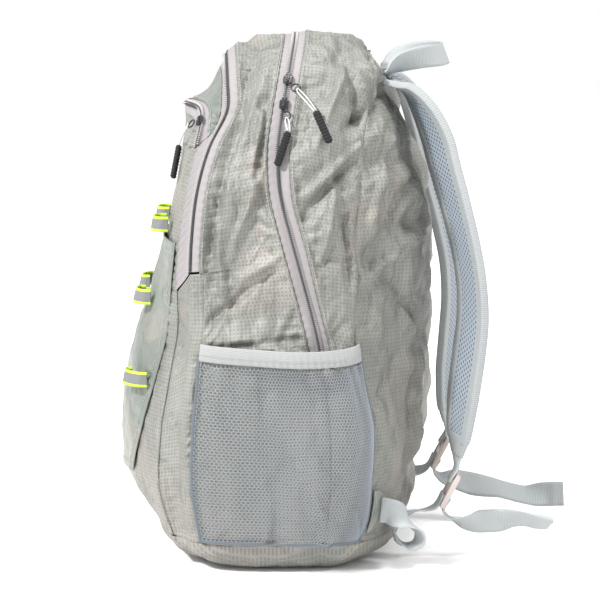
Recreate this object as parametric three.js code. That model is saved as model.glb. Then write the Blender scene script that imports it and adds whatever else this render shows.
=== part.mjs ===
import * as THREE from 'three';
import { mergeVertices } from 'three/addons/utils/BufferGeometryUtils.js';

// A light packable backpack, stuffed and standing by itself.
// Millimetres, +Z up, the front pockets towards -Y, the shoulder straps towards +Y,
// +X is the wearer's right side. The origin is on the floor under the bag.

// Overall sizes
const BAG_HEIGHT = 512;
const BAG_DEPTH = 304;
const BAG_WIDTH = 300;
const HALF_WIDTH = BAG_WIDTH / 2;
const RIM_HEIGHT = 30;
const WIDEST_SHARE = 0.43;
const BASE_NARROWING = 0.14;

// Cloth and seams
const CLOTH = 1.6;
const SEAM_GAP = 0.3;
const LAY_GAP = 0.6;
const PATCH_CLOTH = 1.2;

// Zips
const TAPE_WIDTH = 22;
const TAPE_THICK = 1;
const CHAIN_WIDTH = 5;
const CHAIN_THICK = 1.4;
const CHAIN_GAP = 0.9;
const FRONT_TAPE_WIDTH = 16;
const MAIN_ZIP_END_SHARE = 0.402;
const MIDDLE_ZIP_END_SHARE = 0.570;
const MAIN_ZIP_END = MAIN_ZIP_END_SHARE * BAG_HEIGHT;
const MIDDLE_ZIP_END = MIDDLE_ZIP_END_SHARE * BAG_HEIGHT;

// Sliders and pulls
const SLIDER_LENGTH = 13;
const SLIDER_WIDTH = 9;
const SLIDER_THICK = 3.2;
const SLIDER_TAIL = 0.55;
const SLIDER_WIDEST = 0.3;
const SLIDER_NOSE = 0.7;
const RING_RADIUS = 4.2;
const RING_WIRE = 0.8;
const PULL_CORD = 1.8;
const GRIP_LENGTH = 34;
const GRIP_WIDTH = 7;
const GRIP_THICK = 5;
const GRIP_SHAPE = [
  { share: 0, size: 0.6 },
  { share: 0.12, size: 1 },
  { share: 0.88, size: 1 },
  { share: 1, size: 0.6 },
];

// Straps and webbing
const STRAP_WIDTH = 62;
const STRAP_THICK = 7;
const WEBBING_WIDTH = 25;
const WEBBING_THICK = 1.6;
const LOCK_LENGTH = 36;
const LOCK_WIDTH = 36;
const LOCK_THICK = 4.5;
const LOCK_BAR = 4.5;
const LOCK_SLOT = 7;

// Side pockets
const POCKET_BOTTOM = 33;
const POCKET_TOP = 211;
const POCKET_FULLNESS = 15;
const POCKET_MOUTH = 10;
const NET_THICK = 1;
const ELASTIC_HEIGHT = 15;
const ELASTIC_THICK = 2;
const GUSSET_MARGIN = 15;
const SLACK_CORNER = 3;
const POCKET_INSET = 2;
const POCKET_STEPS = 8;

// Patch pocket on the front
const PATCH_BOTTOM = 88;
const PATCH_TOP = 318;
const PATCH_REACH = 0.9;
const PATCH_CORNER = 0.35;
const PATCH_SWELL = 5;
const PATCH_LIFT = 0.7;
const PATCH_HEM = 0.06;

// Routes of the straps and webbing. Across is a share of half the bag's width, place and
// height are shares of its depth and height, face is the direction of the strip's width,
// and breadth and bulk scale its width and thickness there.
const STRAP_ROUTE = [
  { across: 0.302, place: 0.376, height: 0.915, face: [1, 0, -0.1], breadth: 0.8, bulk: 0.6 },
  { across: 0.315, place: 0.400, height: 0.909, face: [1, 0.1, 0], breadth: 0.9, bulk: 0.8 },
  { across: 0.333, place: 0.436, height: 0.896, face: [1, 0.22, 0], breadth: 1, bulk: 1 },
  { across: 0.380, place: 0.487, height: 0.858, face: [1, 0.36, 0], breadth: 1, bulk: 1 },
  { across: 0.420, place: 0.526, height: 0.809, face: [1, 0.42, 0], breadth: 1, bulk: 1 },
  { across: 0.460, place: 0.552, height: 0.754, face: [1, 0.40, 0], breadth: 1, bulk: 1 },
  { across: 0.500, place: 0.582, height: 0.691, face: [1, 0.38, 0], breadth: 1, bulk: 1 },
  { across: 0.530, place: 0.615, height: 0.613, face: [1, 0.36, 0], breadth: 1, bulk: 1 },
  { across: 0.550, place: 0.635, height: 0.547, face: [1, 0.34, 0], breadth: 1, bulk: 1 },
  { across: 0.560, place: 0.641, height: 0.475, face: [1, 0.36, 0], breadth: 1, bulk: 1 },
  { across: 0.567, place: 0.630, height: 0.406, face: [1, 0.38, 0], breadth: 1, bulk: 1 },
  { across: 0.573, place: 0.612, height: 0.322, face: [1, 0.38, 0], breadth: 0.96, bulk: 1 },
  { across: 0.573, place: 0.600, height: 0.250, face: [1, 0.34, 0], breadth: 0.8, bulk: 0.9 },
  { across: 0.573, place: 0.594, height: 0.206, face: [1, 0.20, 0], breadth: 0.5, bulk: 0.5 },
];
const STRAP_END = { breadth: 0.42, bulk: 0.4 };
const LEFT_STRAP_SHIFT = -0.035;
const WEBBING_ROUTE = [
  { across: 0.811, place: 0.349, height: 0.121, face: [0, 0.10, -1] },
  { across: 0.830, place: 0.375, height: 0.119, face: [0, 0.30, -0.95] },
  { across: 0.838, place: 0.400, height: 0.113, face: [0.30, 0.30, -0.90] },
  { across: 0.833, place: 0.431, height: 0.102, face: [0.65, 0.45, -0.60] },
  { across: 0.812, place: 0.457, height: 0.087, face: [0.85, 0.50, -0.15] },
  { across: 0.783, place: 0.467, height: 0.068, face: [0.88, 0.45, 0.05] },
  { across: 0.743, place: 0.450, height: 0.053, face: [0.90, 0.35, 0.15] },
  { across: 0.700, place: 0.418, height: 0.050, face: [0.92, 0.20, 0.25] },
  { across: 0.657, place: 0.396, height: 0.060, face: [0.92, 0.05, 0.35] },
  { across: 0.623, place: 0.399, height: 0.078, face: [0.90, -0.15, 0.40] },
  { across: 0.600, place: 0.424, height: 0.093, face: [0.90, -0.25, 0.35] },
  { across: 0.583, place: 0.460, height: 0.101, face: [0.93, -0.25, 0.25] },
  { across: 0.573, place: 0.500, height: 0.104, face: [0.97, -0.15, 0.10] },
];
const RIGHT_TAIL_ROUTE = [
  { across: 0.570, place: 0.570, height: 0.090, face: [1, 0, 0.10] },
  { across: 0.560, place: 0.610, height: 0.082, face: [0.85, 0, 0.50] },
  { across: 0.517, place: 0.670, height: 0.077, face: [0.25, 0.05, 0.95] },
  { across: 0.480, place: 0.737, height: 0.076, face: [0.20, 0.10, 0.97] },
  { across: 0.467, place: 0.789, height: 0.078, face: [0.60, 0.10, 0.75] },
  { across: 0.453, place: 0.836, height: 0.074, face: [0.70, 0.20, 0.60] },
  { across: 0.447, place: 0.862, height: 0.071, face: [0.75, 0.20, 0.60], bulk: 2.6 },
  { across: 0.440, place: 0.905, height: 0.066, face: [0.80, 0.20, 0.50], bulk: 2.6 },
];
const LEFT_TAIL_ROUTE = [
  { across: 0.570, place: 0.572, height: 0.092, face: [1, 0, 0.10] },
  { across: 0.550, place: 0.620, height: 0.088, face: [0.80, 0, 0.55] },
  { across: 0.507, place: 0.690, height: 0.079, face: [0.55, 0.05, 0.80] },
  { across: 0.467, place: 0.776, height: 0.072, face: [0.85, 0, 0.50] },
  { across: 0.453, place: 0.862, height: 0.061, face: [0.80, 0.10, 0.50] },
  { across: 0.440, place: 0.934, height: 0.063, face: [0.10, 0.30, 0.95] },
  { across: 0.433, place: 0.960, height: 0.064, face: [0.05, 0.28, 0.96], bulk: 2.6 },
  { across: 0.427, place: 0.993, height: 0.065, face: [0, 0.25, 0.97], bulk: 2.6 },
];
const HANDLE_ROUTE = [
  { across: 0.327, place: 0.3600, height: 0.9300, face: [1, 0, 0.10] },
  { across: 0.323, place: 0.375, height: 0.9355, face: [0.90, 0, 0.40] },
  { across: 0.313, place: 0.408, height: 0.949, face: [0.60, -0.10, 0.80] },
  { across: 0.270, place: 0.475, height: 0.960, face: [0.25, -0.20, 0.95] },
  { across: 0.170, place: 0.540, height: 0.963, face: [0, -0.35, 0.94] },
  { across: 0, place: 0.562, height: 0.965, face: [0, -0.35, 0.94] },
];
const LOCK_CENTRE = { across: 0.573, place: 0.572, height: 0.145 };
const LOCK_TILT = 28;
const LOCK_EDGE_LEAD = 3;

// The triangular cloth tabs that hold the webbing at the lower back corners. Across is a
// share of the back panel's half width.
const TAB_TOP = 82;
const TAB_BOTTOM = 40;
const TAB_EDGE = 0.975;
const TAB_NARROW = 0.03;
const TAB_WIDE = 0.19;
const TAB_STEPS = 6;

// Lash loops on each side of the patch pocket. Height is a share of the bag's height, and
// across a share of the front seam's half width, where the outer leg stands.
const LASH_LOOPS = [
  { height: 0.645, across: 0.50, reach: 14, stand: 1.6 },
  { height: 0.508, across: 0.56, reach: 12, stand: 2.2 },
  { height: 0.357, across: 0.78, reach: 12, stand: 0.85 },
];

// Zip pulls: the slider's height, then the place and height of the cord's end and of the
// grip's end, as shares of the bag's depth and height.
const PULL_LIFT = 5;
const CROSSED_LIFT = 7.5;
const SLIDER_STAND = 1.4;
const BENT_STAND = 3;
const FLAT_STAND = 0.1;
const PULLS = [
  {
    name: 'main_upper', side: 'right', zip: 'mainZip', slider: 0.922,
    cord: [0.127, 0.869], grip: [0.165, 0.807], lift: PULL_LIFT, stand: SLIDER_STAND,
  },
  {
    name: 'main_lower', side: 'right', zip: 'mainZip', slider: 0.880,
    cord: [0.055, 0.832], grip: [0.024, 0.775], lift: CROSSED_LIFT, stand: SLIDER_STAND,
  },
  {
    name: 'middle', side: 'left', zip: 'middleZip', slider: 0.590,
    cord: [-0.240, 0.540], grip: [-0.240, 0.474], lift: PULL_LIFT, stand: BENT_STAND,
  },
  {
    name: 'front', side: 'right', zip: 'frontSeam', slider: 0.845,
    cord: [-0.276, 0.797], grip: [-0.296, 0.738], lift: PULL_LIFT, stand: FLAT_STAND,
  },
];
const LASH_BEND = [[0, 0], [0.05, 0.6], [0.28, 1], [0.72, 1], [0.95, 0.6], [1, 0]];

// Lash loops
const LASH_WIDTH = 15;
const LASH_THICK = 1;
const LASH_SPAN = 30;

// Side view of the bag. Height is a share of the bag's height, the others are places
// from front to back as shares of its depth.
const SIDE_COLUMNS = ['height', 'front', 'frontSeam', 'middleZip', 'mainZip', 'backSeam', 'back'];
const SIDE_ROWS = [
  [0.059, -0.375, -0.316, -0.263, 0.171, 0.276, 0.431],
  [0.107, -0.431, -0.342, -0.276, 0.181, 0.303, 0.464],
  [0.166, -0.484, -0.362, -0.289, 0.191, 0.313, 0.480],
  [0.273, -0.477, -0.352, -0.283, 0.188, 0.319, 0.513],
  [0.352, -0.457, -0.329, -0.270, 0.174, 0.293, 0.526],
  [0.449, -0.414, -0.303, -0.257, 0.148, 0.273, 0.530],
  [0.566, -0.362, -0.296, -0.250, 0.099, 0.296, 0.526],
  [0.645, -0.336, -0.283, -0.243, 0.063, 0.276, 0.520],
  [0.723, -0.309, -0.263, -0.227, 0.030, 0.289, 0.503],
  [0.801, -0.289, -0.230, -0.191, 0.023, 0.299, 0.461],
  [0.869, -0.280, -0.197, -0.135, 0.036, 0.316, 0.414],
  [0.918, -0.280, -0.197, -0.132, 0.049, 0.339, 0.368],
  [0.967, -0.280, -0.197, -0.138, 0.063, 0.322, 0.322],
  [1.000, -0.280, -0.197, -0.148, 0.076, 0.319, 0.319],
];

// The four arches that run up one side, over the top and down the other. Top height is a
// share of the bag's height, top place a share of its depth, width a share of half its
// width. A higher squareness gives tighter corners. Lean is how far the cloth there faces
// the back (plus) or the front (minus), in degrees.
const ARCHES = {
  frontSeam: { topHeight: 0.869, topPlace: -0.280, width: 0.747, squareness: 5.0, lean: -45 },
  middleZip: { topHeight: 0.959, topPlace: -0.148, width: 0.853, squareness: 3.2, lean: -12 },
  mainZip: { topHeight: 1.000, topPlace: 0.076, width: 0.985, squareness: 2.8, lean: 0 },
  backSeam: { topHeight: 0.969, topPlace: 0.322, width: 0.930, squareness: 2.8, lean: 40 },
};
const ARCH_TURN = 1.5;
const FRONT_ROUNDNESS = 2.2;
const BACK_ROUNDNESS = 2.6;

// How far each panel swells between its seams, as a share of its own breadth, and where
// along it, from its front edge to its back edge, the swell is fullest.
const SWELL = {
  slackPanel: { amount: -0.11, peak: 0.5 },
  frontBodyPanel: { amount: 0.12, peak: 0.3 },
  backBodyPanel: { amount: 0.16, peak: 0.5 },
};

// Main folds and dents on each side of the bag. Place and height are shares of its depth
// and height, turn is the fold's direction in degrees from level, length, breadth and
// depth are shares of its width, and a negative depth is a dent.
const FOLDS = [
  { place: -0.100, height: 0.620, turn: 62, length: 0.260, breadth: 0.060, depth: -0.020 },
  { place: -0.030, height: 0.500, turn: 12, length: 0.220, breadth: 0.070, depth: -0.022 },
  { place: 0.200, height: 0.520, turn: 78, length: 0.230, breadth: 0.055, depth: -0.020 },
  { place: 0.240, height: 0.800, turn: 84, length: 0.220, breadth: 0.050, depth: -0.024 },
  { place: 0.120, height: 0.780, turn: 50, length: 0.140, breadth: 0.050, depth: 0.014 },
  { place: 0.380, height: 0.640, turn: 66, length: 0.240, breadth: 0.060, depth: -0.026 },
  { place: 0.400, height: 0.380, turn: 100, length: 0.260, breadth: 0.060, depth: -0.020 },
  { place: -0.100, height: 0.860, turn: 74, length: 0.120, breadth: 0.045, depth: -0.018 },
];

const FOLD_FADE = 0.4;

// The bottom panel's flat base, as shares of the rim's outline.
const BASE_LENGTH_SHARE = 0.515;
const BASE_WIDTH_SHARE = 0.72;
const BASE_SHIFT_SHARE = 0.041;

// Grid fineness
const ARCH_STEPS = 20;
const CAP_STEPS = 8;
const BAND_STEPS = 4;
const LOOP_SAMPLES = 64;
const BASE_STEPS = 4;
const PADDED_SIDES = 8;
const CORD_SIDES = 6;
const RING_SIDES = 5;
const RING_STEPS = 12;
const SEARCH_STEPS = 5;
const HANDLE_SHARE = 0.88;
const CAP_TOP = 0.985;
const CAP_TOP_GAP = 2;
const END_STEP = 0.001;
const ZIP_START = 0.008;
const TANGENT_STEP = 0.01;
const ROW_CLEAR = 0.02;
const TINY = 1e-6;

const group = new THREE.Group();
group.name = 'packable_backpack';

function material(color, roughness, metalness = 0) {
  return new THREE.MeshStandardMaterial({ color, roughness, metalness, side: THREE.DoubleSide });
}

const finishes = {
  ripstop: () => material(0xb9bbaf, 0.75),
  lightCloth: () => material(0x9fa89e, 0.7),
  tape: () => material(0xcdc6c8, 0.8),
  chain: () => material(0x8f8a86, 0.5),
  metal: () => material(0x2c2c2e, 0.35, 0.9),
  cord: () => material(0xe4e6e4, 0.7),
  rubber: () => material(0x1c1c1d, 0.6),
  webbing: () => material(0xe1e4e4, 0.8),
  net: () => material(0xa5b4c3, 0.7),
  padding: () => material(0xbecddc, 0.85),
  plastic: () => material(0xd7c8c3, 0.45),
  lash: () => material(0xb6bd8c, 0.6),
};

// Numbers
const mix = (a, b, share) => a + (b - a) * share;
const clamp01 = (value) => Math.min(1, Math.max(0, value));
const radians = (degrees) => (degrees * Math.PI) / 180;

// A smooth value from the side view's table, at a height in millimetres.
function sideView(column, height) {
  const at = SIDE_COLUMNS.indexOf(column);
  const share = height / BAG_HEIGHT;
  const last = SIDE_ROWS.length - 1;
  let row = 0;
  while (row < last - 1 && SIDE_ROWS[row + 1][0] < share) row += 1;
  const before = SIDE_ROWS[Math.max(0, row - 1)];
  const from = SIDE_ROWS[row];
  const to = SIDE_ROWS[row + 1];
  const after = SIDE_ROWS[Math.min(last, row + 2)];
  const span = to[0] - from[0];
  const slopeIn = (to[at] - before[at]) / (to[0] - before[0]);
  const slopeOut = (after[at] - from[at]) / (after[0] - from[0]);
  const s = clamp01((share - from[0]) / span);
  const cubic = (2 * s ** 3 - 3 * s ** 2 + 1) * from[at] + (s ** 3 - 2 * s ** 2 + s) * span * slopeIn
    + (3 * s ** 2 - 2 * s ** 3) * to[at] + (s ** 3 - s ** 2) * span * slopeOut;
  return cubic * BAG_DEPTH;
}

// An arch: its half width, its place from front to back, and evenly spaced points.
class Arch {
  constructor(name) {
    const shape = ARCHES[name];
    this.name = name;
    this.lean = shape.lean;
    this.halfWidth = shape.width * HALF_WIDTH;
    this.squareness = shape.squareness;
    this.widest = WIDEST_SHARE * BAG_HEIGHT;
    this.top = shape.topHeight * BAG_HEIGHT;
    this.topPlace = shape.topPlace * BAG_DEPTH;
    this.samples = this.sample();
  }

  widthAt(height) {
    if (height <= this.widest) {
      const below = (this.widest - height) / this.widest;
      return this.halfWidth * (1 - BASE_NARROWING * below ** 2);
    }
    const above = clamp01((height - this.widest) / (this.top - this.widest));
    return this.halfWidth * (1 - above ** this.squareness) ** (1 / this.squareness);
  }

  placeAt(height, halfWidth) {
    const side = sideView(this.name, height);
    if (height <= this.widest) return side;
    const over = (1 - clamp01(halfWidth / this.halfWidth)) ** ARCH_TURN;
    return mix(side, this.topPlace, over);
  }

  sample() {
    const points = [];
    for (let i = 0; i < LOOP_SAMPLES; i += 1) {
      const height = mix(RIM_HEIGHT, this.widest, i / LOOP_SAMPLES);
      points.push(new THREE.Vector2(this.widthAt(height), height));
    }
    const power = 2 / this.squareness;
    for (let i = 0; i <= LOOP_SAMPLES; i += 1) {
      const angle = (i / LOOP_SAMPLES) * (Math.PI / 2);
      const across = this.halfWidth * Math.max(0, Math.cos(angle)) ** power;
      const up = mix(this.widest, this.top, Math.sin(angle) ** power);
      points.push(new THREE.Vector2(i === LOOP_SAMPLES ? 0 : across, up));
    }
    const lengths = [0];
    for (let i = 1; i < points.length; i += 1) {
      lengths.push(lengths[i - 1] + points[i].distanceTo(points[i - 1]));
    }
    const total = lengths[lengths.length - 1];
    return { points, shares: lengths.map((length) => length / total) };
  }

  // The point at a share t of the way from the rim to the top, with its outward normal.
  at(t) {
    const { points, shares } = this.samples;
    let i = 0;
    while (i < points.length - 2 && shares[i + 1] < t) i += 1;
    const s = clamp01((t - shares[i]) / (shares[i + 1] - shares[i]));
    const x = mix(points[i].x, points[i + 1].x, s);
    const z = mix(points[i].y, points[i + 1].y, s);
    const low = points[Math.max(0, i - 1)];
    const high = points[Math.min(points.length - 1, i + 2)];
    const normal = new THREE.Vector2(high.y - low.y, low.x - high.x).normalize();
    if (t > 1 - TINY) normal.set(0, 1);
    if (z < this.widest) normal.set(1, 0);
    return { x, y: this.placeAt(z, x), z, out: normal };
  }

  shareAtHeight(height) {
    const { points, shares } = this.samples;
    let i = 0;
    while (i < points.length - 2 && points[i + 1].y < height) i += 1;
    const s = clamp01((height - points[i].y) / (points[i + 1].y - points[i].y));
    return mix(shares[i], shares[i + 1], s);
  }
}

const arches = Object.fromEntries(Object.keys(ARCHES).map((name) => [name, new Arch(name)]));

// How far the folds push the cloth out at a point. They fade towards the bag's middle.
function foldPush(point) {
  const onSide = clamp01(Math.abs(point.x) / (FOLD_FADE * HALF_WIDTH));
  let push = 0;
  for (const fold of FOLDS) {
    const away = point.y - fold.place * BAG_DEPTH;
    const up = point.z - fold.height * BAG_HEIGHT;
    const turn = radians(fold.turn);
    const along = (away * Math.cos(turn) + up * Math.sin(turn)) / (fold.length * BAG_WIDTH);
    const across = (up * Math.cos(turn) - away * Math.sin(turn)) / (fold.breadth * BAG_WIDTH);
    push += fold.depth * BAG_WIDTH * Math.exp(-(along ** 2) - across ** 2);
  }
  return push * onSide;
}

function swellShape(share, peak) {
  const bent = share ** (Math.log(0.5) / Math.log(peak));
  return Math.sin(Math.PI * clamp01(bent));
}

// Cloth between two arches: a share from the front arch to the back one, and a share up.
function bandPoint(front, back, swell, share, t) {
  const a = front.at(t);
  const b = back.at(t);
  const radial = new THREE.Vector2(mix(a.out.x, b.out.x, share), mix(a.out.y, b.out.y, share));
  radial.normalize();
  const lean = radians(mix(front.lean, back.lean, share));
  const out = new THREE.Vector3(radial.x * Math.cos(lean), Math.sin(lean), radial.y * Math.cos(lean));
  const point = new THREE.Vector3(mix(a.x, b.x, share), mix(a.y, b.y, share), mix(a.z, b.z, share));
  const push = swell.amount * bandLength(front, back, t) * swellShape(share, swell.peak);
  point.addScaledVector(out, push + foldPush(point));
  return { point, out };
}

const slackPoint = (share, t) => (
  bandPoint(arches.frontSeam, arches.middleZip, SWELL.slackPanel, share, t));
const frontBodyPoint = (share, t) => (
  bandPoint(arches.middleZip, arches.mainZip, SWELL.frontBodyPanel, share, t));
const backBodyPoint = (share, t) => (
  bandPoint(arches.mainZip, arches.backSeam, SWELL.backBodyPanel, share, t));

// The front and back panels swell between an arch's two legs. Across runs from -1 on the
// left leg to 1 on the right leg, and the margin holds the panel inside the arch.
function capPoint(arch, column, roundness, across, t, margin) {
  const edge = arch.at(t);
  const x = across * Math.max(TINY, edge.x - margin * edge.out.x);
  const z = edge.z - margin * edge.out.y;
  const legs = Math.max(TINY, arch.widthAt(z));
  const spread = clamp01(Math.abs(x) / legs);
  const seam = arch.placeAt(z, legs);
  const y = mix(sideView(column, z), seam, spread ** roundness);
  const middleLean = Math.sign(arch.lean) * 90;
  const lean = radians(mix(middleLean, arch.lean, across ** 2));
  const side = Math.sign(across);
  const out = new THREE.Vector3(
    side * edge.out.x * Math.cos(lean), Math.sin(lean), edge.out.y * Math.cos(lean));
  const point = new THREE.Vector3(x, y, z);
  point.addScaledVector(out, foldPush(point) * spread ** 2);
  return { point, out };
}

const frontPoint = (across, t, margin) => (
  capPoint(arches.frontSeam, 'front', FRONT_ROUNDNESS, across, t, margin));
const backPoint = (across, t, margin) => (
  capPoint(arches.backSeam, 'back', BACK_ROUNDNESS, across, t, margin));

const mirrored = ({ point, out }) => ({
  point: new THREE.Vector3(-point.x, point.y, point.z),
  out: new THREE.Vector3(-out.x, out.y, out.z),
});

// A closed geometry from vertex rows and faces given as triples or quads of points.
function closedGeometry(faces) {
  const positions = [];
  for (const face of faces) {
    const triples = face.length === 4 ? [[0, 1, 2], [0, 2, 3]] : [[0, 1, 2]];
    for (const triple of triples) {
      for (const corner of triple) positions.push(...face[corner].toArray());
    }
  }
  const loose = new THREE.BufferGeometry();
  loose.setAttribute('position', new THREE.Float32BufferAttribute(positions, 3));
  const merged = mergeVertices(loose, 1e-4);
  const index = merged.index.array;
  const kept = [];
  for (let i = 0; i < index.length; i += 3) {
    const [a, b, c] = [index[i], index[i + 1], index[i + 2]];
    if (a !== b && b !== c && a !== c) kept.push(a, b, c);
  }
  const place = merged.attributes.position;
  const corner = (i) => new THREE.Vector3().fromBufferAttribute(place, i);
  let volume = 0;
  for (let i = 0; i < kept.length; i += 3) {
    volume += corner(kept[i]).dot(corner(kept[i + 1]).cross(corner(kept[i + 2])));
  }
  if (volume < 0) kept.reverse();
  merged.setIndex(kept);
  merged.computeVertexNormals();
  return merged;
}

// A wall between an outer and an inner grid of points. A wrapped grid closes on itself
// from its last column to its first.
function wallGeometry(outer, inner, wrapped = false) {
  const faces = [];
  const rows = outer.length;
  const columns = outer[0].length;
  const steps = wrapped ? columns : columns - 1;
  for (let r = 0; r < rows - 1; r += 1) {
    for (let c = 0; c < steps; c += 1) {
      const n = (c + 1) % columns;
      faces.push([outer[r][c], outer[r][n], outer[r + 1][n], outer[r + 1][c]]);
      faces.push([inner[r][c], inner[r + 1][c], inner[r + 1][n], inner[r][n]]);
    }
  }
  for (let c = 0; c < steps; c += 1) {
    const n = (c + 1) % columns;
    const top = rows - 1;
    faces.push([outer[0][c], inner[0][c], inner[0][n], outer[0][n]]);
    faces.push([outer[top][c], outer[top][n], inner[top][n], inner[top][c]]);
  }
  if (!wrapped) {
    for (let r = 0; r < rows - 1; r += 1) {
      const end = columns - 1;
      faces.push([outer[r][0], outer[r + 1][0], inner[r + 1][0], inner[r][0]]);
      faces.push([outer[r][end], inner[r][end], inner[r + 1][end], outer[r + 1][end]]);
    }
  }
  return closedGeometry(faces);
}

// A wall whose outer face is lifted off the given surface, and whose thickness goes in.
function clothGeometry(grid, lift, thick, wrapped = false) {
  const raised = (cell, by) => cell.point.clone().addScaledVector(cell.out, by);
  const outer = grid.map((row) => row.map((cell) => raised(cell, lift)));
  const inner = grid.map((row) => row.map((cell) => raised(cell, lift - thick)));
  return wallGeometry(outer, inner, wrapped);
}

function addMesh(name, geometry, finish) {
  const mesh = new THREE.Mesh(geometry, finish());
  mesh.name = name;
  group.add(mesh);
  return mesh;
}

// Even shares from one value to another, with a pair of close ones where a zip ends.
function shares(from, to, steps, ends = []) {
  const list = [];
  for (let i = 0; i <= steps; i += 1) list.push(mix(from, to, i / steps));
  const step = Math.abs(to - from) / steps;
  const clear = list.filter((t) => ends.every((end) => Math.abs(t - end) > step * 0.3));
  const paired = ends.flatMap((end) => [end - END_STEP, end + END_STEP]);
  return [...new Set([from, ...clear, ...paired, to])].sort((a, b) => a - b);
}

// The distance square across a band, from one arch to the next.
function bandLength(front, back, t) {
  const vector = (spot) => new THREE.Vector3(spot.x, spot.y, spot.z);
  const from = vector(front.at(t));
  const across = vector(back.at(t)).sub(from);
  const ahead = vector(back.at(Math.min(1, t + TANGENT_STEP)));
  const along = ahead.sub(vector(back.at(t - TANGENT_STEP))).normalize();
  return across.addScaledVector(along, -across.dot(along)).length();
}

const seamHalf = SEAM_GAP / 2;
const tapeHalf = TAPE_WIDTH / 2;
const zipMargin = tapeHalf + SEAM_GAP;
const frontTapeHalf = FRONT_TAPE_WIDTH / 2;

// The front zip ends where the two arches are wide enough apart for both tapes.
function frontZipEnd() {
  const room = frontTapeHalf + SEAM_GAP + zipMargin + SLACK_CORNER;
  let t = 1;
  while (t > 0 && bandLength(arches.frontSeam, arches.middleZip, t) > room) t -= END_STEP;
  return t;
}

const middleEnd = arches.middleZip.shareAtHeight(MIDDLE_ZIP_END);
const mainEnd = arches.mainZip.shareAtHeight(MAIN_ZIP_END);
const frontEnd = frontZipEnd();
const SHARED_UP = shares(0, 1, ARCH_STEPS, [middleEnd, mainEnd, frontEnd, CAP_TOP]);
const CAP_UP = SHARED_UP.filter((t) => t < CAP_TOP);

// Rows up the right leg, over the top and down the left leg, from one share up.
function overTheTop(from, cells, ups = SHARED_UP) {
  const used = [from, ...ups.filter((t) => t > from + ROW_CLEAR / 2)];
  const right = used.map((t) => cells(t));
  const left = used.slice(0, -1).reverse().map((t) => cells(t).map(mirrored));
  return [...right, ...left];
}

// Cells across a band between a margin at each of its edges, in millimetres.
function bandCells(pointAt, front, back, t, frontMargin, backMargin, steps) {
  const length = bandLength(front, back, t);
  const low = frontMargin / length;
  const high = 1 - backMargin / length;
  const cells = [];
  for (let i = 0; i <= steps; i += 1) cells.push(pointAt(mix(low, high, i / steps), t));
  return cells;
}

const middleBackMargin = (t) => (t > middleEnd ? zipMargin : GUSSET_MARGIN + SEAM_GAP);
const mainMargin = (t) => (t > mainEnd ? zipMargin : seamHalf);
const nearTop = (t) => t > CAP_TOP - 2 * END_STEP;
const backMargin = (t) => (nearTop(t) ? CAP_TOP_GAP : seamHalf);
const frontMargin = (t) => (t > frontEnd ? frontTapeHalf + (nearTop(t) ? CAP_TOP_GAP : LAY_GAP) : seamHalf);

function buildBodyPanels() {
  const front = overTheTop(0, (t) => bandCells(
    frontBodyPoint, arches.middleZip, arches.mainZip, t,
    middleBackMargin(t), mainMargin(t), BAND_STEPS));
  addMesh('front_body_panel', clothGeometry(front, 0, CLOTH), finishes.ripstop);
  const back = overTheTop(0, (t) => bandCells(
    backBodyPoint, arches.mainZip, arches.backSeam, t, mainMargin(t), seamHalf, BAND_STEPS));
  addMesh('back_body_panel', clothGeometry(back, 0, CLOTH), finishes.ripstop);
}

function capGrid(pointAt, ups, marginAt, reach = 1) {
  return ups.map((t) => {
    const row = [];
    for (let i = 0; i <= CAP_STEPS; i += 1) {
      row.push(pointAt(mix(-reach, reach, i / CAP_STEPS), t, marginAt(t)));
    }
    return row;
  });
}

function buildCaps() {
  const front = capGrid(frontPoint, CAP_UP, frontMargin);
  addMesh('front_panel', clothGeometry(front, 0, CLOTH), finishes.ripstop);
  const back = capGrid(backPoint, CAP_UP, backMargin);
  addMesh('back_panel', clothGeometry(back, 0, CLOTH), finishes.ripstop);
}

// The gusset strip below the middle zip, from the front seam to the side seam.
function buildGussets() {
  const ups = [...SHARED_UP.filter((t) => t < middleEnd - END_STEP * 2), middleEnd - END_STEP];
  const grid = ups.map((t) => {
    const slackLength = bandLength(arches.frontSeam, arches.middleZip, t);
    const bodyLength = bandLength(arches.middleZip, arches.mainZip, t);
    const first = slackPoint(seamHalf / slackLength, t);
    const middle = slackPoint(1, t);
    const last = frontBodyPoint(GUSSET_MARGIN / bodyLength, t);
    return [first, middle, last];
  });
  addMesh('gusset_right', clothGeometry(grid, 0, CLOTH), finishes.ripstop);
  const left = grid.map((row) => row.map(mirrored));
  addMesh('gusset_left', clothGeometry(left, 0, CLOTH), finishes.ripstop);
}

// The slack panel on top, between the front zip and the middle zip.
function buildSlackPanel() {
  const grid = overTheTop(frontEnd + END_STEP, (t) => bandCells(
    slackPoint, arches.frontSeam, arches.middleZip, t,
    frontTapeHalf + SEAM_GAP, zipMargin, BAND_STEPS - 2));
  addMesh('slack_top_panel', clothGeometry(grid, 0, CLOTH), finishes.lightCloth);
}

// The point and direction at a distance behind (plus) or before (minus) an arch.
function besideArch(frontBand, backBand, arch, beforeArch, afterArch, offset, t) {
  if (offset >= 0) return backBand(offset / bandLength(arch, afterArch, t), t);
  return frontBand(1 + offset / bandLength(beforeArch, arch, t), t);
}

const besideMain = (offset, t) => besideArch(
  frontBodyPoint, backBodyPoint, arches.mainZip, arches.middleZip, arches.backSeam, offset, t);
const besideMiddle = (offset, t) => besideArch(
  slackPoint, frontBodyPoint, arches.middleZip, arches.frontSeam, arches.mainZip, offset, t);

function besideFront(offset, t) {
  if (offset >= 0) return slackPoint(offset / bandLength(arches.frontSeam, arches.middleZip, t), t);
  return frontPoint(1, t, -offset);
}

const between = (a, b, share) => ({
  point: a.point.clone().lerp(b.point, share),
  out: a.out.clone().lerp(b.out, share).normalize(),
});

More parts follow.
